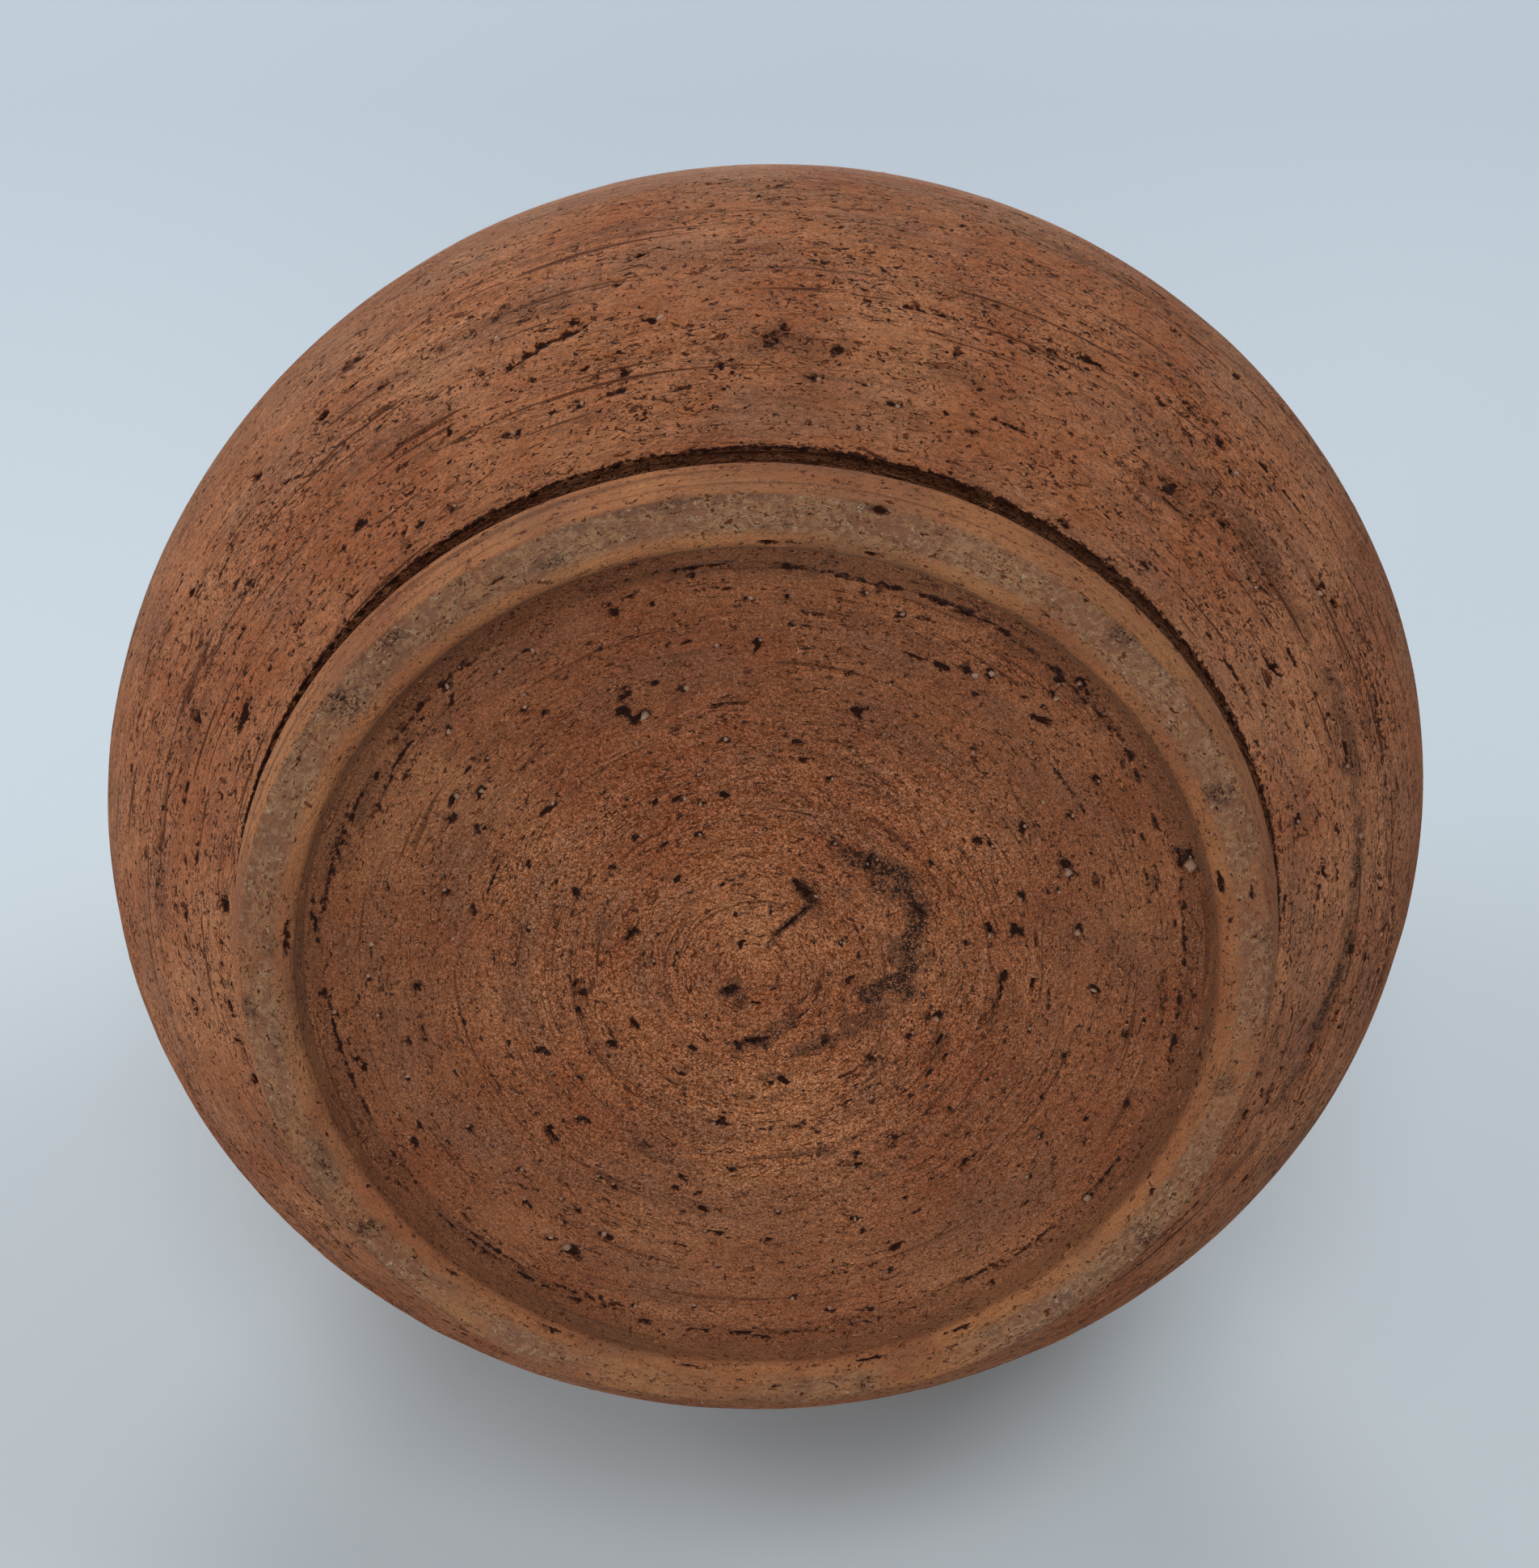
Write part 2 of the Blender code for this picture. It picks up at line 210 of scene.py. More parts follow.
class Skin:
    """A turned piece's points, in mm and degrees, what the tools and the grit did to each of them, and the
    painted shade and sheen that some of its finishes carry.
    """

    def __init__(self, mesh):
        count = len(mesh.vertices)
        place, out = np.empty((2, count * 3))
        mesh.vertices.foreach_get("co", place)
        mesh.vertices.foreach_get("normal", out)
        self.mesh = mesh
        self.place = place.reshape(-1, 3) / MM
        self.out = out.reshape(-1, 3)
        self.along = np.empty(count)
        mesh.attributes["along"].data.foreach_get("value", self.along)
        self.radius = np.hypot(self.place[:, 0], self.place[:, 1])
        self.angle = np.degrees(np.arctan2(self.place[:, 1], self.place[:, 0])) % 360
        self.round = np.column_stack((self.place[:, :2], self.along))
        order = np.argsort(self.angle)
        self.turned = np.concatenate([self.angle[order] + turn for turn in (-360, 0, 360)])
        self.order = np.tile(order, 3)
        self.ragged = self.lumps(1.2, 1) + 0.9 * self.lumps(0.6, 2)
        self.bend = self.lumps(2.2, 3)
        self.lift, self.torn, self.stain_and_shade, self.worn, self.rough = np.zeros((5, count))

    def lumps(self, size, seed):
        """Noise from -1 to 1 in lumps of a size in mm."""
        return noise(self.place, size, seed)

    def streaks(self, length, width, seed):
        """Noise from -1 to 1 in streaks that run round the pot, of a length and a width in mm."""
        return noise(self.round, (length, length, width), seed)

    def mark(self, angle, at, length, width, slant, ragged):
        """The points near a mark, how far each is from its middle (the edge is 1), and how far along it."""
        reach = 0.8 * length + width
        here = self.radius[np.argmin(np.abs(self.along - at))]
        wide = math.degrees(math.asin(min(1, reach / max(here, reach))))
        first, last = np.searchsorted(self.turned, (angle % 360 - wide, angle % 360 + wide))
        near = self.order[first:last]
        near = near[np.abs(self.along[near] - at) < reach]
        run = self.radius[near] * np.sin(np.radians(self.angle[near] - angle))
        up = self.along[near] - at + BEND * self.bend[near]
        c, s = math.cos(math.radians(slant)), math.sin(math.radians(slant))
        u = (run * c + up * s) / (length / 2)
        v = (up * c - run * s) / (width / 2)
        narrow = np.clip(0.75 + 0.25 * u, 0.4, 1)           # a mark starts narrow
        return near, np.hypot(u, v / narrow) + ragged * self.ragged[near], u

    def tear(self, angle, at, length, width, depth, slant=0.0):
        """A torn hollow that runs round the pot and deepens to its far end, where its grain lies, with a dark
        core of painted shade.
        """
        near, edge, u = self.mark(angle, at, length, width, slant, TEAR_RAGGED)
        hollow = (1 - rise(edge, 0.55, 1.0)) * np.clip(0.8 + 0.3 * u, 0.4, 1.1)
        self.lift[near] += depth * (BURR * ridge(edge, 1.2, 0.22) - hollow)
        # Painted shade: the deeper the hollow, the darker its core.
        dark = min(1, 0.55 + 1.1 * depth)
        self.torn[near] = np.maximum(self.torn[near], dark * (1 - rise(edge, 0.35, 1.1)))

    def smear(self, angle, at, length, width, strength, slant=0.0):
        """A stained blotch that fades out at its edge."""
        near, edge, _ = self.mark(angle, at, length, width, slant, SMEAR_RAGGED)
        self.stain_and_shade[near] = np.maximum(self.stain_and_shade[near], strength * (1 - rise(edge, 0.3, 1.2)))

    def trail(self, path, width, strength):
        """A band of dark torn skin along a path of points (x, y) in mm, with ragged edges."""
        for start, end in zip(path, path[1:]):
            start, run = np.array(start), np.subtract(end, start)
            away = self.place[:, :2] - start
            share = np.clip(away @ run / (run @ run), 0, 1)[:, None]
            edge = np.linalg.norm(away - share * run, axis=1) / (width / 2) + 0.45 * self.ragged
            self.stain_and_shade = np.maximum(self.stain_and_shade, strength * (1 - rise(edge, 0.5, 1.3)))
            self.lift -= TRAIL_DEPTH * strength * (1 - rise(edge, 0.5, 1.2)) / (len(path) - 1)

    def finish(self):
        """Moves the mesh's points and writes the finishes as attributes."""
        moved = (self.place + self.out * self.lift[:, None]) * MM
        self.mesh.vertices.foreach_set("co", moved.ravel())
        for name in ("torn", "stain_and_shade", "worn", "rough"):
            values = np.clip(getattr(self, name), 0, 1)
            self.mesh.attributes.new(name, "FLOAT", "POINT").data.foreach_set("value", values)
        self.mesh.update()
        self.mesh.set_sharp_from_angle(angle=CREASE)


GRAIN_RADIUS = 0.42         # this and the next three are shares of a grain's size
GRAIN_SUNK = 0.22           # how far its middle lies under half the depth of its pit
GRAIN_CHIPPED = 0.07        # how far its corners are moved
GRAIN_SIDES = (0.7, 1.25)


def set_grains(skin, grains, seed):
    """Sets angular grains of grog in the skin, each sunk in its pit: (angle, along, size in mm)."""
    chance = np.random.default_rng(seed)
    bm = bmesh.new()
    for angle, at, size in grains:
        off = np.radians((skin.angle - angle + 180) % 360 - 180)
        here = np.argmin((skin.radius * off) ** 2 + (skin.along - at) ** 2)
        middle = skin.place[here] + skin.out[here] * (0.5 * skin.lift[here] - GRAIN_SUNK * size)
        turn = Matrix.Rotation(chance.uniform(0, math.tau), 4, Vector(chance.normal(size=3)))
        shape = Matrix.Diagonal((*chance.uniform(*GRAIN_SIDES, 3), 1))
        placed = Matrix.Translation(Vector(middle * MM)) @ turn @ shape
        made = bmesh.ops.create_icosphere(bm, subdivisions=1, radius=GRAIN_RADIUS * size * MM, matrix=placed)
        for vertex in made["verts"]:
            vertex.co += Vector(chance.normal(size=3)) * GRAIN_CHIPPED * size * MM
    mesh = bpy.data.meshes.new("clay")
    bm.to_mesh(mesh)
    bm.free()
    mesh.shade_smooth()
    return mesh


def linear(code):
    """An sRGB hex colour as the linear one that a shader takes."""
    parts = [int(code[i:i + 2], 16) / 255 for i in (1, 3, 5)]
    return (*(p / 12.92 if p <= 0.04045 else ((p + 0.055) / 1.055) ** 2.4 for p in parts), 1.0)


def add(tree, kind, inputs=None, **settings):
    """Adds a node with its settings; each named input takes a value or a link. Gives its first output."""
    node = tree.nodes.new("ShaderNode" + kind)
    for name, value in settings.items():
        setattr(node, name, value)
    for name, value in (inputs or {}).items():
        if isinstance(value, bpy.types.NodeSocket):
            tree.links.new(value, node.inputs[name])
        else:
            node.inputs[name].default_value = value
    return next((socket for socket in node.outputs if socket.enabled), None)


def place_piece(name, mesh, material, slot, *nodes):
    """Puts a finished mesh in the scene on the vase's one body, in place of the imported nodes."""
    mesh.name = name
    mesh.materials.append(material)
    piece = bpy.data.objects.new(name, mesh)
    scene.collection.objects.link(piece)
    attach(piece, "root")
    if nodes:
        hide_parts(*nodes)


# Unglazed grogged stoneware, fired red-brown in an oxidising kiln: dry and matt, with a faint sheen on edges.
# Its depth comes from broad iron mottling, lines from the wheel, skin torn out in ragged flakes, and sand,
# with painted shade in hollows and painted light on ridges.
CLAY_PATTERNS = {           # mm round the pot and mm across, octaves, roughness, distortion
    "mottle": (17.0, 17.0, 4, 0.6, 0.0),
    "dull": (18.0, 6.0, 4, 0.6, 0.0),
    "rings": (30.0, 1.6, 2, 0.5, 0.0),
    "lines": (9.0, 0.5, 1, 0.5, 0.3),
    "drift": (7.0, 2.6, 3, 0.6, 0.0),
    "flakes": (2.5, 0.8, 3, 0.6, 0.8),
    "nicks": (0.95, 0.42, 1, 0.6, 0.6),
    "sand": (0.27, 0.27, 1, 0.6, 1.0),
    "lumps": (0.85, 0.85, 2, 0.6, 0.4),
    "pits": (0.62, 0.55, 1, 0.5, 0.4),
    "scores": (26.0, 0.55, 2, 0.5, 0.5),
    "scratches": (1.6, 1.6, 1, 0.6, 0.5),
}
UNEVEN_TURN = (0.5, 0.7, 0.3)       # radians, which keep patterns that are as wide as long off the axes
TONE_SPREAD = (0.75, 1.0, 1.3)      # how far a tone moves red, green and blue: dark clay is redder
TONE_DARKEST, TONE_PALEST = -1.0, 0.8
# Painted shade in the hollows of tears, nicks and pits.
HOLLOW_SHADE_CLAY = linear("#361a10")
SHALLOW_CLAY = linear("#5f331e")
LUMPY_CLAY = linear("#864f31")
STAINED_CLAY = linear("#2c1a13")
# Dusty darkening for stains, also used as painted shade in corners and grooves.
DUST_AND_SHADE_CLAY = linear("#5c3c2b")
# Rubbed clay, whose colours also serve as painted sheen towards the belly's widest line.
WORN_AND_SHEEN_CLAY = linear("#a07d5f")
WORN_AND_SHEEN_DARK = linear("#5f4f4a")
SCRATCHED_CLAY = linear("#b39a80")


def bare_stoneware(name, light, dark, dull, rings, lines, torn_skin, nicks, sand, pits, scores):
    """Bare stoneware between a light, a dark and a dull colour, with each mark from 0, none, to 1, strong."""
    material = bpy.data.materials.new(name)
    material.use_nodes = True
    tree = material.node_tree
    tree.nodes.clear()
    place = add(tree, "TexCoord").node.outputs["Object"]
    mm = add(tree, "VectorMath", {0: place, "Scale": 1 / MM}, operation="SCALE")
    x, y, _ = add(tree, "SeparateXYZ", {0: mm}).node.outputs
    levels = {finish: add(tree, "Attribute", attribute_name=finish).node.outputs["Fac"]
              for finish in ("torn", "stain_and_shade", "worn", "rough", "along")}
    wheel = add(tree, "CombineXYZ", {0: x, 1: y, 2: levels["along"]})
    for kind, (length, width, octaves, roughness, distortion) in CLAY_PATTERNS.items():
        drawn_out = length != width
        spread = add(tree, "Mapping", {"Vector": wheel if drawn_out else mm,
                                       "Rotation": (0, 0, 0) if drawn_out else UNEVEN_TURN,
                                       "Scale": (1 / length, 1 / length, 1 / width)})
        levels[kind] = add(tree, "TexNoise", {"Vector": spread, "Scale": 1.0, "Detail": octaves,
                                              "Roughness": roughness, "Distortion": distortion})

    # What each mark follows: a sum of patterns and of the finishes that the mesh holds, each times its share.
    sums = {
        "tearing": {"rough": 0.04, "drift": 0.10, "flakes": 1.0},
        "nicking": {"rough": 0.04, "drift": 0.10, "nicks": 1.0},
        "flaking": {"drift": 1.0, "rough": 0.12},
        "scoring": {"scores": 1.0, "drift": 0.20, "rough": 0.03},
        "pitting": {"pits": 1.0, "drift": 0.22, "sand": -0.15},
        "staining": {"stain_and_shade": 1.0, "nicks": -0.6, "sand": -1.8, "lumps": -0.9},
        "rubbing_and_sheen": {"worn": 0.5, "mottle": 0.8, "lumps": 0.8},
        "patching": {"drift": 0.5, "lumps": 0.9},
        "scuffing": {"worn": 0.22, "lumps": 1.0},
        "hollow": {"torn": 0.6, "lumps": 1.5, "nicks": 0.9},
        "hollow_floor": {"torn": 0.6, "lumps": 1.1, "nicks": 1.1},
        "height": {"rings": 0.5 * rings, "lines": 0.22 * lines, "flakes": -0.7 * torn_skin,
                   "nicks": -0.35 * nicks, "sand": 0.30 * sand, "lumps": 0.25},
    }
    for kind, shares in sums.items():
        levels[kind] = 0.0
        for part, share in shares.items():
            levels[kind] = add(tree, "Math", {0: levels[part], 1: share, 2: levels[kind]},
                               operation="MULTIPLY_ADD")

    # Where the skin is torn out, a shallow brown terrace has a dark core of painted shade; finer nicks are
    # torn the same way.
    # Each mark shows where its level passes from low to high, with a strength from bottom to top.
    torn_out = 0.744 - 0.06 * torn_skin
    nicked = 0.776 - 0.06 * nicks
    ramps = {
        "pale": ("mottle", 0.36, 0.64, 0, 1),
        "dulled": ("dull", 0.48, 0.66, 0, 0.6),
        "contrast": ("rough", 0.0, 0.5, 0.45, 1.0),
        "raised": ("tearing", 0.510, 0.440, 0, torn_skin),
        "patch": ("flaking", 0.46, 0.58, 0, 1),
        "shallow": ("tearing", torn_out, torn_out + 0.03, 0, min(1, 1.6 * torn_skin)),
        "core": ("tearing", torn_out + 0.08, torn_out + 0.12, 0, min(1, 1.6 * torn_skin)),
        "nick": ("nicking", nicked, nicked + 0.035, 0, min(1, 1.4 * nicks)),
        "crumb": ("nicks", 0.42, 0.36, 0, nicks),
        "score": ("scoring", 0.77, 0.80, 0, scores),
        "pit": ("pitting", 0.735, 0.76, 0, pits),
        "dust_and_shade": ("stain_and_shade", 0.0, 0.5, 0, 0.55),
        "fleck": ("staining", -0.78, -0.66, 0, 0.9),
        "rubbed_and_sheen": ("rubbing_and_sheen", 0.95, 1.55, 0, 0.9),
        "rubbed_and_sheen_pale": ("patching", 0.60, 0.76, 0, 1),
        "scuffed": ("scuffing", 0.72, 0.78, 0, 1),
        "hole": ("hollow", 1.48, 1.54, 0, 1),
        "hole_core": ("hollow_floor", 1.52, 1.60, 0, 1),
        "gritty": ("sand", 0.45, 0.60, 0, 1),
    }
    for kind, (level, low, high, bottom, top) in ramps.items():
        levels[kind] = add(tree, "MapRange", {0: levels[level], 1: low, 2: high, 3: bottom, 4: top})

    # Flakes stand up beside tears, with a pale rim of painted highlight, partly rubbed clay, and a brown
    # crevice of painted shade, partly dirt; scratches wind over worn clay.
    # Each is a thin line where its level is near a value: the value, how near, and what it shows in.
    threads = {
        "crevice_shade_and_dirt": ("tearing", 0.516, 0.011, "patch"),
        "rim_highlight_and_rub": ("tearing", 0.488, 0.014, "patch"),
        "scratch": ("scratches", 0.5, 0.010, "scuffed"),
    }
    for kind, (level, at, near, where) in threads.items():
        thread = add(tree, "Math", {0: levels[level], 1: at, 2: near}, operation="COMPARE")
        levels[kind] = add(tree, "Math", {0: levels[where], 1: thread}, operation="MULTIPLY")

    # Iron mottling, duller patches, and painted relief shading that follows the wheel's rings, the flakes and
    # the sand.
    colour = add(tree, "Mix", {0: levels["pale"], 6: linear(dark), 7: linear(light)}, data_type="RGBA")
    colour = add(tree, "Mix", {0: levels["dulled"], 6: colour, 7: linear(dull)}, data_type="RGBA")
    # Each tone is painted shade where its pattern lies low and painted light where it stands high, partly dust
    # in the hollows.
    relief_shade_tones = {               # where a pattern is darkest and palest, and how deep its tone is
        "rings": (0.35, 0.65, 0.22 * rings),
        "lines": (0.35, 0.65, 0.18 * lines),
        "flakes": (0.62, 0.38, 0.14 * torn_skin),
        "nicks": (0.65, 0.35, 0.12 * nicks),
        "sand": (0.40, 0.60, 0.60 * sand),
    }
    for kind, (low, high, deep) in relief_shade_tones.items():
        deep = add(tree, "Math", {0: deep, 1: levels["contrast"]}, operation="MULTIPLY")
        tone = add(tree, "MapRange", {0: levels[kind], 1: low, 2: high, 3: TONE_DARKEST, 4: TONE_PALEST})
        tone = add(tree, "VectorMath", {0: tone, 1: deep}, operation="MULTIPLY")
        tone = add(tree, "VectorMath", {0: tone, 1: TONE_SPREAD, 2: (1, 1, 1)}, operation="MULTIPLY_ADD")
        colour = add(tree, "VectorMath", {0: colour, 1: tone}, operation="MULTIPLY")

    # Each mark: what there is of it, its colour, and its height in mm.
    grit = add(tree, "Mix", {0: levels["gritty"], 6: SHALLOW_CLAY, 7: LUMPY_CLAY}, data_type="RGBA")
    rubbed_and_sheen_clay = add(tree, "Mix", {0: levels["rubbed_and_sheen_pale"], 6: WORN_AND_SHEEN_DARK, 7: WORN_AND_SHEEN_CLAY}, data_type="RGBA")
    # The near-black of nicks, cores, pits and hole cores is painted shade in their hollows.
    marks = (
        ("dust_and_shade", DUST_AND_SHADE_CLAY, 0.0), ("raised", None, 0.20), ("crumb", None, 0.10), ("rim_highlight_and_rub", linear(light), 0.0),
        ("rubbed_and_sheen", rubbed_and_sheen_clay, 0.03), ("scratch", SCRATCHED_CLAY, 0.05), ("crevice_shade_and_dirt", SHALLOW_CLAY, -0.06),
        ("fleck", STAINED_CLAY, -0.08), ("shallow", grit, -0.20), ("nick", HOLLOW_SHADE_CLAY, -0.14),
        ("score", SHALLOW_CLAY, -0.12), ("core", HOLLOW_SHADE_CLAY, -0.20), ("pit", HOLLOW_SHADE_CLAY, -0.25),
        ("hole", grit, -0.20), ("hole_core", HOLLOW_SHADE_CLAY, -0.30),
    )
    height = levels["height"]
    for kind, tint, high in marks:
        if tint is not None:
            colour = add(tree, "Mix", {0: levels[kind], 6: colour, 7: tint}, data_type="RGBA")
        if high:
            height = add(tree, "Math", {0: levels[kind], 1: high, 2: height}, operation="MULTIPLY_ADD")
    bump = add(tree, "Bump", {"Height": height, "Strength": 1.0, "Distance": MM})
    shader = add(tree, "BsdfPrincipled",
                 {"Base Color": colour, "Roughness": 0.8, "IOR": 1.5, "Specular IOR Level": 0.08,
                  "Sheen Weight": 0.05, "Sheen Roughness": 0.4, "Normal": bump})
    add(tree, "OutputMaterial", {"Surface": shader})
    return material


def draw(chance, *ranges):
    """A random value from each range (low, high), drawn in turn."""
    return [chance.uniform(low, high) for low, high in ranges]


def lowest(run):
    return -run[:, 1].min()


def widest(run):
    return run[:, 0].max()


ROUND = (0, 360)            # degrees
RING_STEPS = 900
RING_FINE = 0.24            # mm between points on the faces that show
HIDDEN = 1.5                # mm between points where two pieces meet
FACE_EDGE = (50.3, 0.0)     # radius and height in mm where the resting face begins
WALL_EDGE = (54.97, 0.51)   # and where the outer wall begins
RING_NICKS = 160
RING_GRAINS = 45
RING_TEARS = (              # degrees round the foot, radius mm, length, width, depth
    (282.8, 54.2, 1.9, 1.6, 0.7), (347.6, 52.9, 2.6, 1.2, 0.25), (187, 48.9, 5.2, 1.3, 0.7),
    (345.5, 48.9, 4.5, 1.2, 0.6), (241, 52.6, 3.4, 1, 0.25), (271.5, 48.7, 3, 0.9, 0.5),
    (283, 48.7, 2.4, 0.8, 0.4), (62, 49.2, 4, 0.8, 0.4), (75, 49.4, 5, 0.7, 0.4), (99, 49.6, 6, 0.7, 0.35),
    (118, 49.4, 4, 0.8, 0.4), (133, 49.5, 3, 0.7, 0.35),
)
ring_mesh = turn_piece(cut_open("foot_ring"), RING_STEPS, RING_FINE, HIDDEN, lowest)
ring = Skin(ring_mesh)
chance = np.random.default_rng(11)
FACE_STARTS, WALL_STARTS = (ring.along[np.argmin(np.abs(ring.radius - r) + np.abs(ring.place[:, 2] - z))]
                            for r, z in (FACE_EDGE, WALL_EDGE))
from_face = ring.along - FACE_STARTS
from_wall = ring.along - WALL_STARTS
on_face = rise(from_face, -1.5, 0) * (1 - rise(from_wall, -0.9, 0))
on_wall = rise(from_wall, -0.3, 0.3)
inner_wall = 1 - rise(from_face, -2.2, -0.7)
ring.lift += 0.05 * (on_wall + inner_wall) * ring.streaks(60, 0.9, 3)
ring.lift += 0.07 * on_wall * ring.streaks(50, 0.55, 9)
ring.lift += 0.04 * ring.lumps(2.5, 4) + 0.10 * inner_wall * noise(ring.place, (9, 9, 2), 5)
ring.lift -= 0.09 * on_face * rise(ring.lumps(1.6, 6), 0.1, 0.7)
# The face is rubbed on its outer half, most where the vase leaned on it, with dark stains left between.
outer_half = on_face * rise(ring.radius, 50.2, 51.8)
far_side = rise(np.sin(np.radians(ring.angle)), 0.2, 0.9)
ring.worn = outer_half * np.clip(1.0 + 0.8 * ring.lumps(11, 7) - 0.5 * far_side, 0, 1) + 0.2 * on_face
face_edge = ridge(from_wall, -0.7, 0.3) * rise(ring.lumps(9, 10), -0.5, 0.3)
ring.lift -= 0.10 * face_edge
# The rounded inner corner and the groove above the flange are darkened as painted shade; the rest are stains.
for stain_and_shade_part in (0.75 * outer_half * rise(ring.lumps(3.5, 8), 0.1, 0.6), 0.45 * inner_wall, 0.6 * face_edge,
                0.6 * rise(from_wall, 4.7, 5.2), 0.5 * on_wall * rise(ring.streaks(40, 0.5, 15), 0.2, 0.6)):
    ring.stain_and_shade = np.maximum(ring.stain_and_shade, stain_and_shade_part)
for angle, at, length, width, depth in RING_TEARS:
    where = ring.along[np.argmin(np.abs(ring.radius - at) + np.abs(ring.place[:, 2]) * 2)]
    ring.tear(angle, where, length, width, depth)
for _ in range(RING_NICKS):
    ring.tear(*draw(chance, ROUND, (FACE_STARTS - 3, WALL_STARTS + 4.5), (0.5, 1.6), (0.3, 0.7), (0.06, 0.2)))
ring_grains = [draw(chance, ROUND, (FACE_STARTS - 1, WALL_STARTS + 4), (0.35, 0.7))
               for _ in range(RING_GRAINS)]
ring.finish()
# Worn by standing: greyer and smoother than the rest, with fine nicks and hardly any torn flakes.
worn_foot = bare_stoneware("worn_foot_stoneware", "#b0784f", "#955d3f", "#7e5a45", rings=0.3, lines=0.6,
                           torn_skin=0.15, nicks=0.35, sand=0.4, pits=0.5, scores=0.0)
place_piece("foot_ring_turned", ring_mesh, worn_foot, "worn_ring_clay", "foot_ring")

# Grog
# Grains of crushed fired clay and quartz, up to 1 mm, which the potter wedges into coarse clay.
# Turning drags them through the skin, and each stops at the end of the groove that it cut.
GROG_MOTTLE = 0.9           # mm
# Fired grains that are paler, and a little shinier, than the clay round them.
grog = bpy.data.materials.new("fired_grog")
grog.use_nodes = True
grog_tree = grog.node_tree
grog_tree.nodes.clear()
grog_place = add(grog_tree, "TexCoord").node.outputs["Object"]
grog_mottle = add(grog_tree, "TexNoise", {"Vector": grog_place, "Scale": 1 / (GROG_MOTTLE * MM), "Detail": 2})
grog_colour = add(grog_tree, "Mix", {0: grog_mottle, 6: linear("#6b4733"), 7: linear("#bb977c")},
                  data_type="RGBA")
grog_shader = add(grog_tree, "BsdfPrincipled", {"Base Color": grog_colour, "Roughness": 0.55, "IOR": 1.54})
add(grog_tree, "OutputMaterial", {"Surface": grog_shader})
place_piece("foot_ring_grog", set_grains(ring, ring_grains, 12), grog, "worn_ring_clay")

